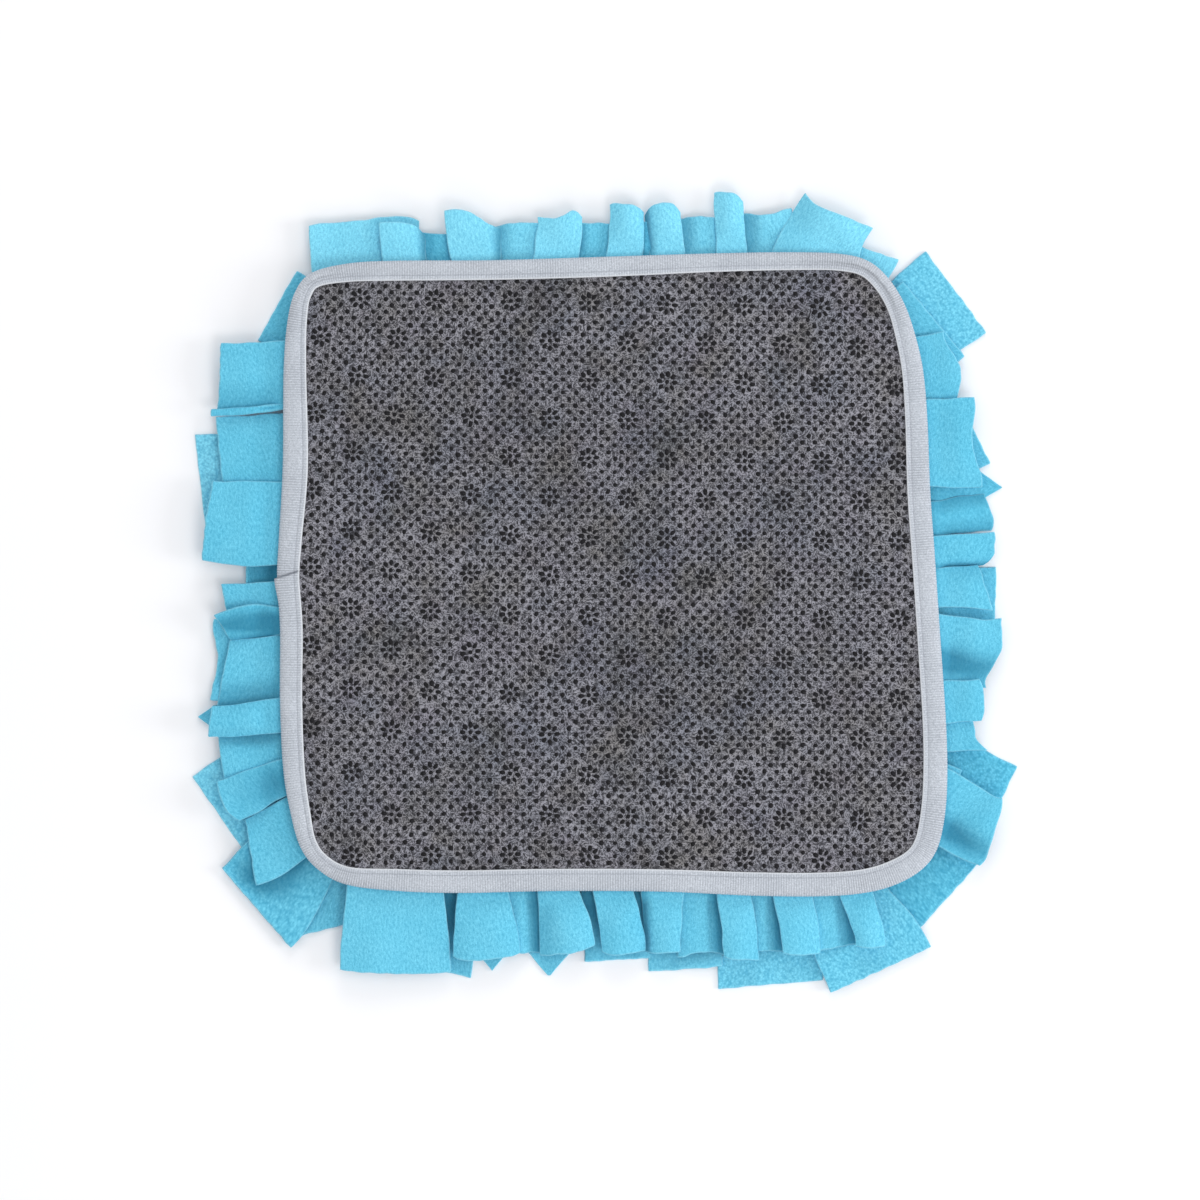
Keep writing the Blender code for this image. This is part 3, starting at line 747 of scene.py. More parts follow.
def dips_across(strip, u):
    """How far the strip's edges go down: the one that tucks softly under, and those that sag."""
    tucked = TUCK * smooth((u * strip.soft - TUCK_FROM) / (1 - TUCK_FROM)) if strip.soft else 0.0
    return tucked + strip.sag[0] * smooth(-u) + strip.sag[1] * smooth(u)


def cut_line(strip, u):
    """How far the cut end lies beyond an even one, at a place across the strip."""
    places = np.linspace(-1, 1, len(strip.cut))
    curve = np.polynomial.Polynomial.fit(places, strip.cut, len(strip.cut) - 1)
    corners = strip.dome * u**2 + strip.point * np.abs(u)
    return strip.slant * u / 2 - corners + curve(u)


def troughs(strip, u, share):
    """How deep the strip's creases are, across it and as a share of the way from the tape to its tip."""
    total = 0.0
    for crease in strip.creases:
        middle = crease.start + (crease.end - crease.start) * share
        deep = crease.deep + (crease.shallow - crease.deep) * share
        total = total + deep * np.exp(-(((u - middle) / crease.wide) ** 2))
    return total


def spaced(length, cell):
    """Distances from 0 to length with cells of about that size and a narrow one at each end."""
    inner = np.linspace(EDGE_CELL, length - EDGE_CELL, max(2, round(length / cell)))
    return np.concatenate(([0.0], inner, [length]))


def nap_turn(side):
    """The nap lies the same way over the whole mat: along the strips of two sides, across the others'."""
    return 90.0 if abs(side.out[1]) > abs(side.out[0]) else 0.0


def strip_surface(side, strip, inset, descent, low_z, cell, seed):
    """The middle surface of one strip: a grid of points, their places on the flat cloth, and the painted
    shade of its folds.
    """
    long = inset + strip.reach
    edge = min(inset, long - SHORTEST_END)
    distance = spaced(long, cell)[:, None]
    widest = max(strip.wide, strip.tip_wide)
    u = 2 * spaced(widest, min(cell, widest / 5))[None, :] / widest - 1
    v = distance / long
    root = np.array((strip.at, -inset))
    tip = np.array((strip.tip_at, strip.reach))
    pull = np.linalg.norm(tip - root)
    leave = np.array((0.0, pull))
    turn = math.radians(strip.turn)
    arrive = np.array((math.sin(turn), math.cos(turn))) * pull
    middle = (
        (2 * v**3 - 3 * v**2 + 1) * root
        + (v**3 - 2 * v**2 + v) * leave
        + (3 * v**2 - 2 * v**3) * tip
        + (v**3 - v**2) * arrive
    )
    ahead = (
        (6 * v**2 - 6 * v) * root
        + (3 * v**2 - 4 * v + 1) * leave
        + (6 * v - 6 * v**2) * tip
        + (3 * v**2 - 2 * v) * arrive
    )
    ahead = ahead / np.linalg.norm(ahead, axis=1, keepdims=True)
    beyond = np.clip((distance - edge) / (long - edge), 0.0, 1.0)
    half = (strip.wide + (strip.tip_wide - strip.wide) * smooth(v)) / 2
    shown = np.clip((distance - inset) / (long - inset), 0.0, 1.0)
    bowed = np.where(u < 0, strip.bow[0], strip.bow[1]) * 4 * shown * (1 - shown)
    offset = u * (half + bowed) + EDGE_WAVER * waver(seed, distance, 9 * u, EDGE_WAVER_LONG) * np.abs(u)
    cut = cut_line(strip, u) + EDGE_WAVER * waver(seed + 1, offset, 0, EDGE_WAVER_LONG / 2)
    further = cut * beyond**2
    along = middle[:, :1] + ahead[:, 1:] * offset + ahead[:, :1] * further
    out = middle[:, 1:] - ahead[:, :1] * offset + ahead[:, 1:] * further
    x, y = side_point(side, along, out)
    arch = strip.arch * smooth((distance - inset - ARCH_START) / ARCH_FULL)
    ripple = RIPPLE * waver(seed + 2, x, y, RIPPLE_LONG) * smooth((distance - inset) / ARCH_FULL)
    z = SEAM_Z + (low_z - SEAM_Z) * smooth(distance / descent) + arch * rise_across(u, strip.high)
    dips = dips_across(strip, u) + troughs(strip, u, shown)
    # Painted shade: its share grows with how far the strip dips.
    fold_shade = np.clip(dips / FOLD_SHADE_FULL, 0.0, 1.0)
    sunk = np.minimum(dips, DEEPEST[strip.layer]) * smooth((distance - inset) / DIP_FULL)
    z = z - fall(x, y) + ripple - sunk
    grid = np.stack((x, y, np.maximum(z * lie(x, y), FLEECE / 2)), axis=2)
    turned = math.radians(nap_turn(side)) + math.radians(NAP_STRAY) * waver(seed + 3, 0.0, 0.0, 1.0)
    start = 500.0 * seed
    flat_x = offset * math.cos(turned) - distance * math.sin(turned) + start
    flat_y = offset * math.sin(turned) + distance * math.cos(turned)
    return grid, np.stack((flat_x, flat_y), axis=2), fold_shade


def unit(vectors):
    return vectors / np.maximum(np.linalg.norm(vectors, axis=-1, keepdims=True), 1e-9)


def placed(name, data):
    """A new object in the scene."""
    made = bpy.data.objects.new(name, data)
    bpy.context.scene.collection.objects.link(made)
    return made


# How far a cut edge rounds out, as a share of its cloth's thickness.
EDGE_ROUND = 0.3


def border_of(rows, columns):
    """The indices of a grid's border points, in order round it."""
    index = np.arange(rows * columns).reshape(rows, columns)
    return np.concatenate((index[0], index[1:, -1], index[-1, -2::-1], index[-2:0:-1, 0]))


def shell_of(grid, thickness):
    """A closed sheet round a grid of points, with rounded cut edges: its points and its faces."""
    rows, columns = grid.shape[:2]
    along = unit(np.gradient(grid, axis=0))
    across = unit(np.gradient(grid, axis=1))
    normal = unit(np.cross(across, along))
    normal *= np.sign(normal[..., 2].mean())
    outward = np.zeros_like(grid)
    outward[0] -= along[0]
    outward[-1] += along[-1]
    outward[:, 0] -= across[:, 0]
    outward[:, -1] += across[:, -1]
    upper = (grid + normal * thickness / 2).reshape(-1, 3)
    lower = (grid - normal * thickness / 2).reshape(-1, 3)
    border = border_of(rows, columns)
    rim = grid.reshape(-1, 3)[border] + unit(outward).reshape(-1, 3)[border] * thickness * EDGE_ROUND
    index = np.arange(rows * columns).reshape(rows, columns)
    a, b, c, d = index[:-1, :-1], index[:-1, 1:], index[1:, 1:], index[1:, :-1]
    top = np.stack((a, b, c, d), axis=2).reshape(-1, 4)
    below = rows * columns
    ring = 2 * below + np.arange(len(border))
    after = np.roll(ring, -1)
    ahead = np.roll(border, -1)
    faces = np.concatenate((
        top,
        top[:, ::-1] + below,
        np.stack((ahead, border, ring, after), axis=1),
        np.stack((after, ring, border + below, ahead + below), axis=1),
    ))
    return np.concatenate((upper, lower, rim)), faces


def outwards(points, faces):
    """The faces, turned round if the closed shape that they make is inside out."""
    middle = points.mean(axis=0)
    corners = points[faces] - middle
    volume = np.einsum("ij,ij->i", corners[:, 0], np.cross(corners[:, 1], corners[:, 2])).sum()
    volume += np.einsum("ij,ij->i", corners[:, 0], np.cross(corners[:, 2], corners[:, 3])).sum()
    return faces if volume > 0 else faces[:, ::-1]


class Shells:
    """Closed shapes that become one mesh, with the marks that their points carry."""

    def __init__(self):
        self.points = []
        self.faces = []
        self.flat = []
        self.marks = {}
        self.count = 0

    def add(self, points, faces, flat, **marks):
        self.faces.append(outwards(points, faces) + self.count)
        self.points.append(points)
        self.flat.append(flat)
        for name, value in marks.items():
            self.marks.setdefault(name, []).append(np.broadcast_to(value, len(points)))
        self.count += len(points)

    def sheet(self, grid, flat, fold_shade, thickness, **marks):
        """Adds a sheet of cloth round a grid of points; marks painted highlight on its cut edges, painted
        shade in its folds.
        """
        rows, columns = grid.shape[:2]
        points, faces = shell_of(grid, thickness)
        border = border_of(rows, columns)
        # Painted highlight: the points of the cut edges are marked to be coloured paler.
        face = np.zeros(rows * columns)
        face[border] = 1.0
        cut_edge_highlight = np.concatenate((face, face, np.ones(len(border))))
        places = flat.reshape(-1, 2)
        places = np.concatenate((places, places, places[border]))
        # The painted shade of the folds, for each point.
        depth = np.broadcast_to(fold_shade, (rows, columns)).ravel()
        depth = np.concatenate((depth, depth, depth[border]))
        self.add(points, faces, places, cut_edge_highlight=cut_edge_highlight, fold_shade=depth, **marks)

    def piece(self, name, material):
        """The object, in metres."""
        faces = np.concatenate(self.faces)
        mesh = bpy.data.meshes.new(name)
        mesh.from_pydata((np.concatenate(self.points) * MM).tolist(), [], faces.tolist())
        cloth = mesh.uv_layers.new(name="cloth")
        cloth.data.foreach_set("uv", (np.concatenate(self.flat)[faces.ravel()] * MM).ravel())
        for mark, values in self.marks.items():
            layer = mesh.attributes.new(mark, "FLOAT", "POINT")
            layer.data.foreach_set("value", np.concatenate(values).astype(np.float32))
        mesh.shade_smooth()
        mesh.materials.append(material)
        mesh.validate()
        return placed(name, mesh)


def seam_ends(strips):
    """Where the seam of a row starts and ends along its side."""
    first = min(strip.at - strip.wide / 2 for strip in strips) - SEAM_SPARE
    last = max(strip.at + strip.wide / 2 for strip in strips) + SEAM_SPARE
    return first, last


def seam_surface(side, first, last, inset):
    """The middle surface of the seam that gathers a row of strips."""
    along = spaced(last - first, INNER_CELL)[:, None] + first
    out = spaced(SEAM_WIDE, INNER_CELL)[None, :] - inset - SEAM_WIDE / 2
    x, y = side_point(side, along, out)
    grid = np.stack((x, y, SEAM_Z * lie(x, y)), axis=2)
    return grid, np.stack(np.broadcast_arrays(out, along), axis=2)


def fleece_row(name, side, strips, inset, descent, low_z, cell, seed, tone, material):
    """A row of fleece strips with the seam that holds them."""
    row = Shells()
    grid, flat = seam_surface(side, *seam_ends(strips), inset)
    row.sheet(grid, flat, 0.0, SEAM, pebbled=0.0, tone=0.0)
    for number, strip in enumerate(strips):
        own = seed + 10 * number
        grid, flat, fold_shade = strip_surface(side, strip, inset, descent, low_z, cell, own)
        # Painted light and shade: the side's painted light, less where the pebbled side is up, and the
        # strip's own painted shade, with a random stray.
        deep = tone * (1 - strip.pebbled * (1 - PEBBLED_TONE)) + strip.tint
        stray = TONE_STRAY * waver(own + 4, 0.0, 0.0, 1.0)
        row.sheet(grid, flat, fold_shade, FLEECE, pebbled=float(strip.pebbled), tone=deep + stray)
    return row.piece(name, material)


def hang_row(piece, node, strips, inset):
    """Attaches a row and hides its part; the size of its strips, cut straight and side by side on the seam,
    goes unused.
    """
    widths = [(strip.wide + strip.tip_wide) / 2 for strip in strips]
    lengths = [math.hypot(strip.tip_at - strip.at, inset + strip.reach) for strip in strips]
    first, last = seam_ends(strips)
    area = sum(w * l for w, l in zip(widths, lengths)) + SEAM_WIDE * (last - first)
    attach(piece, "root")
    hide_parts(node)
    flat = (max(sum(widths), last - first) * MM, (max(lengths) + SEAM_WIDE) * MM)
    area * MM * MM


def outer_rows(material):
    """The rows whose ends show round the back."""
    for side_number, (side_name, strips) in enumerate(STRIPS.items()):
        for layer in range(LAYERS, 0, -1):
            row = [strip for strip in strips if strip.layer == layer]
            if not row:
                continue
            inset = FIRST_SEAM_INSET + SEAM_STEP * (layer - 1)
            low_z = LAYER_STEP * (LAYERS - layer) + FLEECE / 2
            name = f"fleece_{side_name}_{layer}"
            seed = 1000 * (side_number + 1) + 200 * layer
            piece = fleece_row(
                name, SIDES[side_name], row, inset, DESCENT[layer], low_z, CELL, seed,
                SIDE_PAINTED_LIGHT[side_name], material,
            )
            hang_row(piece, f"strips_{side_name}_{layer}", row, inset)


def inner_rows(material):
    """Plain rows over the hidden front."""
    for number, y in enumerate(INNER_ROWS_Y):
        side = Side(INNER_MIDDLE_X, y, (1.0, 0.0), (0.0, -1.0))
        strips = []
        for k in range(INNER_STRIPS):
            at = (k - (INNER_STRIPS - 1) / 2) * INNER_PITCH
            strips.append(Strip(LAYERS, at, INNER_WIDE, at, INNER_WIDE, INNER_LONG))
        name = f"fleece_front_{number + 1}"
        seed = 6000 + 200 * number
        piece = fleece_row(
            name, side, strips, 0.0, INNER_DESCENT, FLEECE / 2, INNER_CELL, seed, PLAIN_TONE, material
        )
        hang_row(piece, f"strips_front_{number + 1}", strips, 0.0)


# Steps of the outline's curve from one of its points to the next.
OUTLINE_STEPS = 24


def spline(points, steps):
    """A closed Catmull-Rom curve through the points, with the same number of steps to each."""
    points = np.array(points, float)
    a, b, c, d = (np.roll(points, shift, axis=0)[:, None] for shift in (1, 0, -1, -2))
    t = (np.arange(steps) / steps)[None, :, None]
    bend = (2 * a - 5 * b + 4 * c - d) * t**2 + (3 * b - a - 3 * c + d) * t**3
    return (0.5 * (2 * b + (c - a) * t + bend)).reshape(-1, points.shape[1])


def lengths_along(curve):
    """The distance along a closed curve at each of its points, and round it all."""
    steps = np.linalg.norm(np.roll(curve, -1, axis=0) - curve, axis=1)
    return np.concatenate(([0.0], np.cumsum(steps)[:-1])), steps.sum()


def even_outline(count):
    """The outline at even distances: plan positions, tape widths, ways in, and distances along it."""
    curve = spline([(e.x, e.y, e.lap) for e in OUTLINE], OUTLINE_STEPS)
    at, total = lengths_along(curve[:, :2])
    run = np.arange(count) * total / count
    closed = np.concatenate((curve, curve[:1]))
    at = np.append(at, total)
    plan = np.stack([np.interp(run, at, closed[:, k]) for k in (0, 1)], axis=1)
    lap = np.interp(run, at, closed[:, 2])
    ahead = unit(np.roll(plan, -1, axis=0) - np.roll(plan, 1, axis=0))
    into = np.stack((ahead[:, 1], -ahead[:, 0]), axis=1)
    return plan, lap, into, run


def outline_length():
    """The length of the bound edge."""
    return lengths_along(spline([(e.x, e.y) for e in OUTLINE], OUTLINE_STEPS))[1]


FELT_STATIONS = 480
FELT_RINGS = 36
RING_POWER = 1.2


def felt_sheet(material):
    """The felt of the back, from where the tape folds round it to its middle."""
    plan, _, into, _ = even_outline(FELT_STATIONS)
    rim = plan + into * (TAPE + GAP)
    shares = 1 - np.linspace(0, 1, FELT_RINGS + 1)[:-1] ** RING_POWER
    rings = BACK_MIDDLE + (rim - BACK_MIDDLE) * shares[:, None, None]
    layers = []
    for height in (BACK_Z, BACK_Z + FELT):
        x, y = rings[..., 0], rings[..., 1]
        layers.append(np.stack((x, y, height * lie(x, y)), axis=2).reshape(-1, 3))
        mid_z = height * lie(*BACK_MIDDLE)
        layers.append(np.array([(*BACK_MIDDLE, mid_z)]))
    points = np.concatenate(layers)
    size = FELT_RINGS * FELT_STATIONS + 1
    index = np.arange(FELT_RINGS * FELT_STATIONS).reshape(FELT_RINGS, FELT_STATIONS)
    after = np.roll(index, -1, axis=1)
    face = np.stack((index[:-1], index[1:], after[1:], after[:-1]), axis=2).reshape(-1, 4)
    edge = np.stack((index[0], after[0], after[0] + size, index[0] + size), axis=1)
    inner = index[-1]
    pole = np.full(FELT_STATIONS // 2, size - 1)
    cap = np.stack((inner[0::2], pole, np.roll(inner, -2)[0::2], inner[1::2]), axis=1)
    low = np.concatenate((face, cap))
    faces = np.concatenate((low[:, ::-1], low + size, edge))
    shell = Shells()
    shell.add(points, faces, points[:, :2])
    piece = shell.piece("felt_sheet", material)
    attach(piece, "root")
    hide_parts("felt_back")
    low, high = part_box("felt_back")


def tape_section(lap):
    """The folded tape's section, round from its inner edge: distances from the bound edge, and heights."""
    top = BACK_Z + FELT + GAP + TAPE
    bottom = BACK_Z - GAP - TAPE
    under = BACK_Z + FELT + GAP
    groove = lap - GROOVE_IN
    return (
        (lap, under),
        (lap + 0.15, under + 0.35),
        (lap + 0.05, top - 0.3),
        (lap - 0.35, top),
        (lap - 1.2, top),
        (lap - 2.1, top - 0.08),
        (groove, top - 0.3),
        (groove - 0.6, top - 0.05),
        (groove - 1.6, top + 0.2),
        (0.55 * lap, top + 0.42),
        (0.4 * lap, top + 0.45),
        (0.28 * lap, top + 0.3),
        (1.6, top - 0.1),
        (0.7, top - 0.7),
        (0.15, top - 1.6),
        (0.0, (top + bottom) / 2),
        (0.15, bottom + 1.4),
        (0.8, bottom + 0.5),
        (1.9, bottom),
        (0.6 * UNDER_LAP, bottom),
        (UNDER_LAP, bottom),
        (UNDER_LAP, bottom + TAPE),
        (TAPE, bottom + TAPE),
        (TAPE, under),
    )


# The points of the tape's section, counted from its inner edge: those that are ribbed, those that rise
# where its ends lap, and the first of those that also bulge outwards there.
RIBBED_FROM = 7
RIBBED_TO = 19
RAISED_FROM = 1
RAISED_TO = 17
BULGE_FROM = 12


def tape_shell():
    """The folded tape as one closed sweep round the back, with its marks."""
    count = int(outline_length() / RIB_PITCH) * STATIONS_TO_A_RIB
    plan, lap, into, run = even_outline(count)
    section = tape_section(lap)
    size = len(section)
    distance = np.stack([np.broadcast_to(d, count) for d, _ in section], axis=1)
    height = np.array([z for _, z in section])[None, :]
    join_run = run[np.argmin(np.hypot(plan[:, 0] - JOIN_X, plan[:, 1] - JOIN_Y))]
    past = run[:, None] - join_run - JOIN_SLANT * distance
    lapped = np.where(past < 0, smooth(1 + past / JOIN_LONG), 0.0)
    raised = np.zeros(size)
    raised[RAISED_FROM:RAISED_TO] = 1.0
    height = height + JOIN_THICK * lapped * raised
    distance = distance - JOIN_BULGE * lapped * (np.arange(size) >= BULGE_FROM) * raised
    x = plan[:, :1] + into[:, :1] * distance
    y = plan[:, 1:] + into[:, 1:] * distance
    points = np.stack((x, y, height * lie(x, y)), axis=2).reshape(-1, 3)
    index = np.arange(count * size).reshape(count, size)
    onward = np.roll(index, -1, axis=0)
    a, b = index, np.roll(index, -1, axis=1)
    c, d = np.roll(onward, -1, axis=1), onward
    faces = np.stack((a, b, c, d), axis=2).reshape(-1, 4)
    pitch_run = run * (count / STATIONS_TO_A_RIB * RIB_PITCH) / outline_length()
    ribbed = np.zeros(size)
    ribbed[RIBBED_FROM:RIBBED_TO] = 1.0
    flat = np.stack((distance, np.broadcast_to(run[:, None], distance.shape)), axis=2)
    shell = Shells()
    shell.add(
        points,
        faces,
        flat.reshape(-1, 2),
        run=np.repeat(pitch_run, size),
        ribbed=np.tile(ribbed, count),
        from_inner=(lap[:, None] - distance).ravel(),
        # Painted shadow along the step where the tape's ends lap.
        join_shadow=(np.exp(-((past / JOIN_SHADOW_WIDE) ** 2)) * raised).ravel(),
    )
    return shell


def new_tree(name, sizes):
    """An empty Geometry Nodes tree with a named input for each size."""
    nodes = bpy.data.node_groups.new(name, "GeometryNodeTree")
    nodes.interface.new_socket("Geometry", in_out="INPUT", socket_type="NodeSocketGeometry")
    for size in sizes:
        kind = "NodeSocketInt" if isinstance(sizes[size], int) else "NodeSocketFloat"
        nodes.interface.new_socket(size, in_out="INPUT", socket_type=kind)
    nodes.interface.new_socket("Geometry", in_out="OUTPUT", socket_type="NodeSocketGeometry")
    group = nodes.nodes.new("NodeGroupInput")
    tree = Tree(nodes)
    inputs = {socket.name: Value(tree, socket) for socket in group.outputs if socket.name}
    return tree, inputs


def close_tree(tree, geometry, material):
    """Ends a tree with real meshes in their material."""
    real = tree.add("GeometryNodeRealizeInstances", {}, {"Geometry": geometry})
    finished = tree.add("GeometryNodeSetMaterial", {}, {"Geometry": real, "Material": material})
    out = tree.nodes.nodes.new("NodeGroupOutput")
    tree.nodes.links.new(finished.socket, out.inputs[0])
    return tree.nodes


def grown(name, source, nodes, sizes):
    """Runs a tree on an object and keeps what it makes as a plain mesh."""
    modifier = source.modifiers.new("grown", "NODES")
    modifier.node_group = nodes
    for item in nodes.interface.items_tree:
        if item.in_out == "INPUT" and item.name in sizes:
            modifier[item.identifier] = sizes[item.name]
    graph = bpy.context.evaluated_depsgraph_get()
    mesh = bpy.data.meshes.new_from_object(source.evaluated_get(graph))
    bpy.data.objects.remove(source)
    return placed(name, mesh)


def loose_points(name, places, **marks):
    """An object of points alone, for a tree to put things on."""
    mesh = bpy.data.meshes.new(name)
    mesh.from_pydata((places * MM).tolist(), [], [])
    for mark, values in marks.items():
        layer = mesh.attributes.new(mark, "FLOAT", "POINT")
        layer.data.foreach_set("value", np.asarray(values, np.float32))
    return placed(name, mesh)


def vector(tree, x, y, z):
    return tree.add("ShaderNodeCombineXYZ", {}, {"X": x, "Y": y, "Z": z})


def random_between(tree, low, high, seed):
    """A random number for each point."""
    return tree.add("FunctionNodeRandomValue", {"data_type": "FLOAT"}, {2: low, 3: high, "Seed": seed}, 1)


def dome(tree, sides, wide, long, high):
    """A low blunt cone with a soft look, as a printed dot has."""
    cone = tree.add("GeometryNodeMeshCone", {"fill_type": "NGON"}, {
        "Vertices": sides,
        "Radius Top": 0.72,
        "Radius Bottom": 1.0,
        "Depth": 1.0,
    })
    soft = tree.add("GeometryNodeSetShadeSmooth", {}, {"Geometry": cone})
    return tree.add("GeometryNodeTransform", {}, {
        "Geometry": soft,
        "Scale": vector(tree, wide * 0.5, long * 0.5, high),
    })


DOT_SIZES = {
    "Width": DOT_WIDE * MM,
    "Height": DOT_HIGH * MM,
    "Sides": DOT_SIDES,
    "Stray": DOT_STRAY,
    "Seed": 7,
}


def dot_tree(material):
    """Puts an uneven dot on each point."""
    tree, sizes = new_tree("grip_dots", DOT_SIZES)
    shape = dome(tree, sizes["Sides"], sizes["Width"], sizes["Width"], sizes["Height"])
    turn = vector(tree, 0.0, 0.0, random_between(tree, 0.0, 2 * math.pi, sizes["Seed"]))
    wide = random_between(tree, 1 - sizes["Stray"], 1 + sizes["Stray"], sizes["Seed"] + 1)
    long = random_between(tree, 1 - sizes["Stray"], 1 + sizes["Stray"], sizes["Seed"] + 2)
    dots = tree.add("GeometryNodeInstanceOnPoints", {}, {
        "Points": sizes["Geometry"],
        "Instance": shape,
        "Rotation": turn,
        "Scale": vector(tree, wide, long, 1.0),
    })
    return close_tree(tree, dots, material)


FLOWER_SIZES = {
    "Petals": PETALS,
    "Petal out": PETAL_OUT * MM,
    "Petal length": PETAL_LONG * MM,
    "Petal width": PETAL_WIDE * MM,
    "Height": DOT_HIGH * MM,
    "Sides": DOT_SIDES,
    "Seed": 11,
}


def flower_tree(material):
    """Puts a ring of petals and a dot on each point."""
    tree, sizes = new_tree("grip_flowers", FLOWER_SIZES)
    petal = dome(tree, sizes["Sides"], sizes["Petal width"], sizes["Petal length"], sizes["Height"])
    ring = tree.add("GeometryNodeMeshCircle", {}, {
        "Vertices": sizes["Petals"],
        "Radius": sizes["Petal out"],
    })
    number = tree.add("GeometryNodeInputIndex", {}, {})
    around = number * (2 * math.pi) / sizes["Petals"] - math.pi / 2
    petals = tree.add("GeometryNodeInstanceOnPoints", {}, {
        "Points": ring,
        "Instance": petal,
        "Rotation": vector(tree, 0.0, 0.0, around),
        "Scale": vector(tree, random_between(tree, 0.85, 1.12, sizes["Seed"]), 1.0, 1.0),
    })
    middle = sizes["Petal width"] * 1.05
    centre = dome(tree, sizes["Sides"], middle, middle, sizes["Height"])
    flower = tree.add("GeometryNodeJoinGeometry", {}, {"Geometry": petals})
    tree.nodes.links.new(centre.socket, flower.socket.node.inputs["Geometry"])
    turn = random_between(tree, -0.2, 0.2, sizes["Seed"] + 1)
    flowers = tree.add("GeometryNodeInstanceOnPoints", {}, {
        "Points": sizes["Geometry"],
        "Instance": flower,
        "Rotation": vector(tree, 0.0, 0.0, turn),
    })
    return close_tree(tree, flowers, material)


RIB_SIZES = {"Rib height": RIB_HIGH * MM, "Rib pitch": RIB_PITCH}


def rib_tree(material):
    """Raises ribs across the tape, one after another along it."""
    tree, sizes = new_tree("tape_ribs", RIB_SIZES)
    run = tree.add("GeometryNodeInputNamedAttribute", {"data_type": "FLOAT"}, {"Name": "run"})
    ribbed = tree.add("GeometryNodeInputNamedAttribute", {"data_type": "FLOAT"}, {"Name": "ribbed"})
    crest = (run * (2 * math.pi) / sizes["Rib pitch"]).sine() * ribbed * sizes["Rib height"]
    normal = tree.add("GeometryNodeInputNormal", {}, {})
    offset = tree.add("ShaderNodeVectorMath", {"operation": "SCALE"}, {0: normal, "Scale": crest})
    raised = tree.add("GeometryNodeSetPosition", {}, {"Geometry": sizes["Geometry"], "Offset": offset})
    return close_tree(tree, raised, material)


STITCH_SIZES = {"Length": STITCH_LONG * MM, "Thickness": STITCH_THICK * MM}


def stitch_tree(material):
    """Puts a stitch on each point, turned the way that the point's mark says."""
    tree, sizes = new_tree("tape_stitches", STITCH_SIZES)
    bead = tree.add("GeometryNodeMeshUVSphere", {}, {"Segments": 6, "Rings": 5, "Radius": 0.5})
    soft = tree.add("GeometryNodeSetShadeSmooth", {}, {"Geometry": bead})
    shape = tree.add("GeometryNodeTransform", {}, {
        "Geometry": soft,
        "Scale": vector(tree, sizes["Length"], sizes["Thickness"], sizes["Thickness"]),
    })
    heading = tree.add("GeometryNodeInputNamedAttribute", {"data_type": "FLOAT"}, {"Name": "heading"})
    stitches = tree.add("GeometryNodeInstanceOnPoints", {}, {
        "Points": sizes["Geometry"],
        "Instance": shape,
        "Rotation": vector(tree, 0.0, 0.0, heading),
    })
    return close_tree(tree, stitches, material)


def lattice_point(c, r):
    """Where a place of the printed lattice lies on the back."""
    x = PRINT_X + STEP_ACROSS * c - STEP_NARROWS * c * c / 2
    y = PRINT_Y - STEP_DOWN * r - ROW_DEEPENS * r * r / 2 - ROW_DROP * c + ROW_BOW * c * c
    shares = [np.exp(-((x - pull.x) ** 2 + (y - pull.y) ** 2) / pull.wide**2) for pull in PULLS]
    x = x + sum(pull.right * share for pull, share in zip(PULLS, shares))
    y = y + sum(pull.up * share for pull, share in zip(PULLS, shares))
    return x, y


def within_tape(x, y, margin):
    """Which points lie inside the tape's inner edge, by at least the margin."""
    plan, lap, into, _ = even_outline(FELT_STATIONS)
    edge = plan + into * (lap + margin)[:, None]
    ahead = np.roll(edge, -1, axis=0)
    inside = np.zeros(x.shape, bool)
    for (x0, y0), (x1, y1) in zip(edge, ahead):
        if y0 == y1:
            continue
        crosses = (y0 > y) != (y1 > y)
        inside ^= crosses & (x < x0 + (y - y0) * (x1 - x0) / (y1 - y0))
    return inside


def flower_places():
    """The middles of the printed flowers, on every other place of the lattice."""
    columns, rows = np.meshgrid(np.array(FLOWER_COLUMNS, float), np.array(FLOWER_ROWS, float))
    chosen = (columns + rows) % 2 == 0
    x, y = lattice_point(columns[chosen], rows[chosen])
    kept = within_tape(x, y, FLOWER_MARGIN)
    return x[kept], y[kept]


def dot_places(flowers_x, flowers_y):
    """The places of the dots, less those that the flowers cover."""
    step = 1 / DOTS_TO_A_STEP
    across = np.arange(FLOWER_COLUMNS[0] - 1, FLOWER_COLUMNS[-1] + 1 + step / 4, step / 2)
    down = np.arange(FLOWER_ROWS[0] - 1, FLOWER_ROWS[-1] + 1 + step / 4, step / 2)
    number_c, number_r = np.meshgrid(np.arange(len(across)), np.arange(len(down)))
    chosen = (number_c + number_r) % 2 == 0
    c, r = np.meshgrid(across, down)
    x, y = lattice_point(c[chosen], r[chosen])
    near = np.hypot(x[:, None] - flowers_x, y[:, None] - flowers_y).min(axis=1)
    kept = (near > FLOWER_CLEAR) & within_tape(x, y, DOT_MARGIN)
    return x[kept], y[kept]


def on_felt(x, y):
    """Points a little below the felt's face, so that what stands on them is rooted in it."""
    return np.stack((x, y, (BACK_Z + FELT) * lie(x, y) - GRIP_SINK), axis=1)


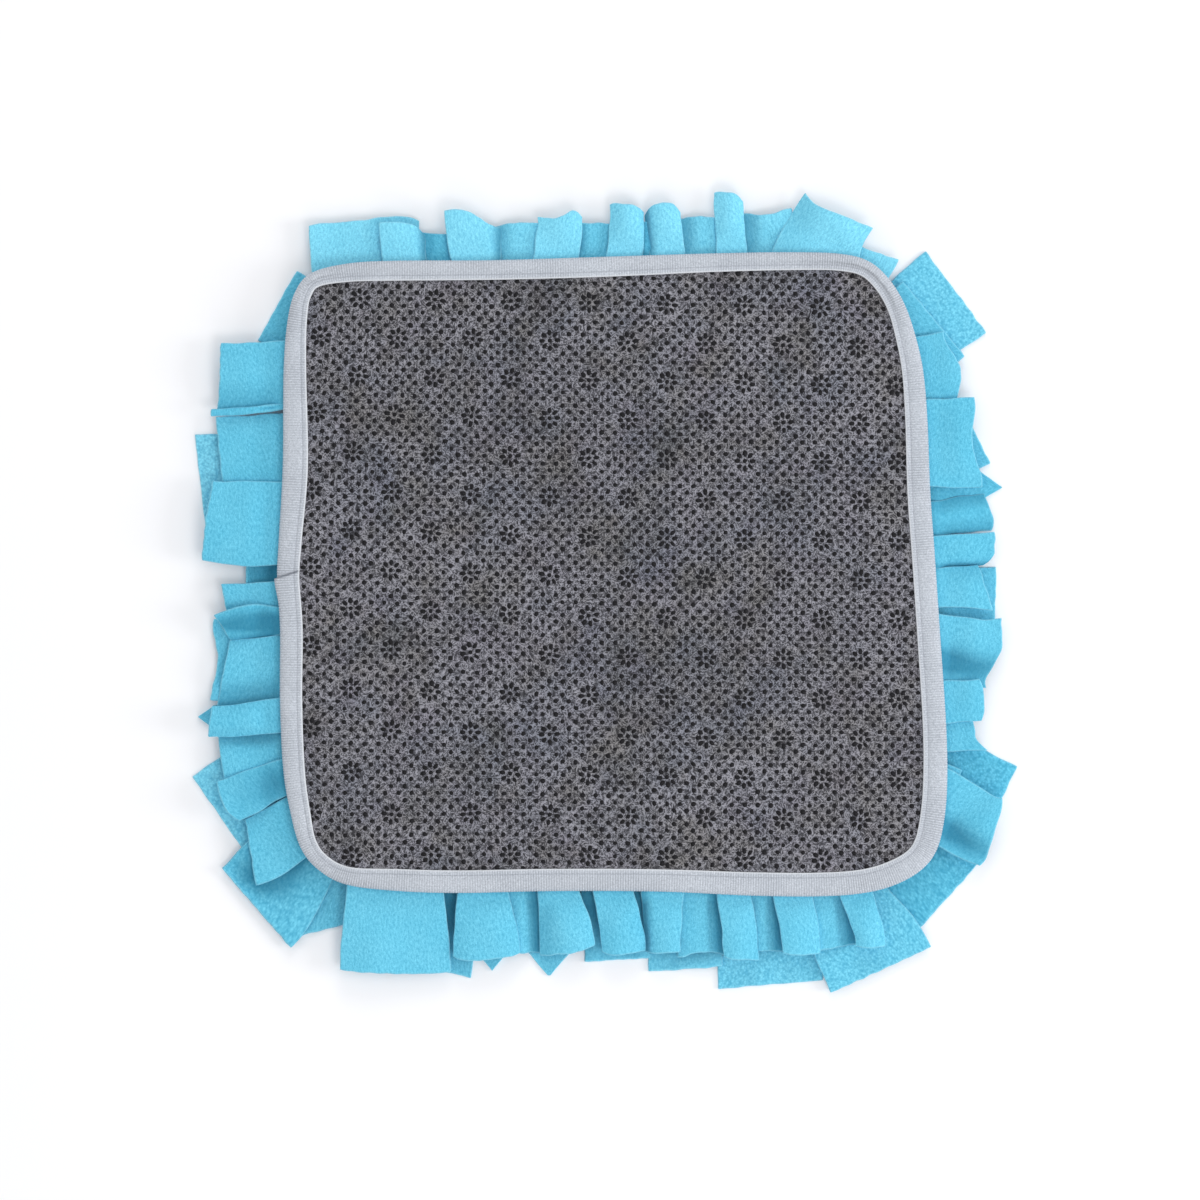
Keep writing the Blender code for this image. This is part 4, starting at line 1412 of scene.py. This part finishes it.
def printed_grip(material):
    """The raised dots and flowers of the non-slip print."""
    flowers_x, flowers_y = flower_places()
    dots_x, dots_y = dot_places(flowers_x, flowers_y)
    stray = np.random.default_rng(DOT_SEED).normal(0.0, DOT_SHIFT, (2, len(dots_x)))
    spots = loose_points("dot_spots", on_felt(dots_x + stray[0], dots_y + stray[1]))
    dots = grown("grip_dots", spots, dot_tree(material), DOT_SIZES)
    spots = loose_points("flower_spots", on_felt(flowers_x, flowers_y))
    flowers = grown("grip_flowers", spots, flower_tree(material), FLOWER_SIZES)
    for piece in (dots, flowers):
        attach(piece, "root")


def binding(material, thread_material):
    """The ribbed tape, folded over the edge of the back, and its stitches."""
    smooth_tape = tape_shell().piece("smooth_tape", material)
    piece = grown("tape_fold", smooth_tape, rib_tree(material), RIB_SIZES)
    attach(piece, "root")
    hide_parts("binding_tape")
    laps = [e.lap for e in OUTLINE]
    wide = sum(laps) / len(laps) + FELT + 2 * GAP + 2 * TAPE + UNDER_LAP
    flat = (wide * MM, outline_length() * MM)
    stitches(thread_material)


def stitches(material):
    """One row of stitches in the tape's groove."""
    count = int(outline_length() / STITCH_PITCH)
    plan, lap, into, _ = even_outline(count)
    places = plan + into * (lap - GROOVE_IN)[:, None]
    height = (BACK_Z + FELT + GAP + TAPE - STITCH_SINK) * lie(places[:, 0], places[:, 1])
    heading = np.arctan2(into[:, 0], -into[:, 1])
    spots = loose_points("stitch_spots", np.column_stack((places, height)), heading=heading)
    made = grown("tape_stitches", spots, stitch_tree(material), STITCH_SIZES)
    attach(made, "root")


FLOOR_SIDE = 6.0


def floor_plane(material):
    """The pale floor."""
    half = FLOOR_SIDE / 2
    mesh = bpy.data.meshes.new("pale_floor")
    corners = [(-half, -half, 0), (half, -half, 0), (half, half, 0), (-half, half, 0)]
    mesh.from_pydata(corners, [], [(0, 1, 2, 3)])
    mesh.materials.append(material)
    made = placed("pale_floor", mesh)
    return made


# The camera looks straight down at the middle of the view, from far enough to keep the layers in line.
VIEW_MIDDLE = (-2.5, -4.1, 8.0)
VIEW_WIDE = 660.0
CAMERA_UP = 4000.0
SENSOR = 36.0


def camera():
    """The camera, over the middle of the view."""
    data = bpy.data.cameras.new("camera")
    data.sensor_width = SENSOR
    data.lens = SENSOR * CAMERA_UP / VIEW_WIDE
    data.clip_end = 20.0
    made = placed("camera", data)
    x, y, z = VIEW_MIDDLE
    made.location = (x * MM, y * MM, (z + CAMERA_UP) * MM)
    bpy.context.scene.camera = made


# Soft lamps round the mat: where each stands, in metres, its side, and the share of light it gives.
Lamp = namedtuple("Lamp", "name place side light")
LAMPS = (
    Lamp("overhead", (0.0, 0.2, 1.9), 1.2, 0.05),
    Lamp("back_box", (0.1, 1.9, 1.1), 1.0, 0.12),
    Lamp("right_box", (2.0, -0.2, 0.9), 0.8, 0.14),
    Lamp("near_box", (0.6, -0.8, 1.6), 0.7, 0.16),
    Lamp("left_box", (-1.9, 0.2, 1.0), 0.8, 0.03),
    Lamp("front_box", (0.3, -1.9, 1.0), 0.8, 0.04),
)
ROOM_LIGHT = 0.66


def lamp_power(lamp):
    """The watts that give a white floor under the mat the lamp's share of light."""
    far = math.dist(lamp.place, (0, 0, 0))
    return lamp.light * (math.pi * far) ** 2 / (lamp.place[2] / far)


def studio():
    """Soft white light from above and round about."""
    for lamp in LAMPS:
        data = bpy.data.lights.new(lamp.name, "AREA")
        data.shape = "SQUARE"
        data.size = lamp.side
        data.energy = lamp_power(lamp)
        made = placed(lamp.name, data)
        made.location = lamp.place
        aim = -np.array(lamp.place)
        made.rotation_euler = (
            math.atan2(math.hypot(aim[0], aim[1]), -aim[2]),
            0.0,
            math.atan2(-aim[0], aim[1]),
        )
    world = bpy.data.worlds.new("room")
    bpy.context.scene.world = world
    world.use_nodes = True
    background = world.node_tree.nodes["Background"]
    background.inputs["Color"].default_value = (1.0, 1.0, 1.0, 1.0)
    background.inputs["Strength"].default_value = ROOM_LIGHT
    bpy.context.scene.view_settings.view_transform = "Standard"


def main():
    camera()
    studio()
    floor = floor_plane(paper())
    fleece_cloth = fleece()
    outer_rows(fleece_cloth)
    inner_rows(fleece_cloth)
    felt_sheet(felt())
    printed_grip(grip())
    binding(tape(), thread())


main()
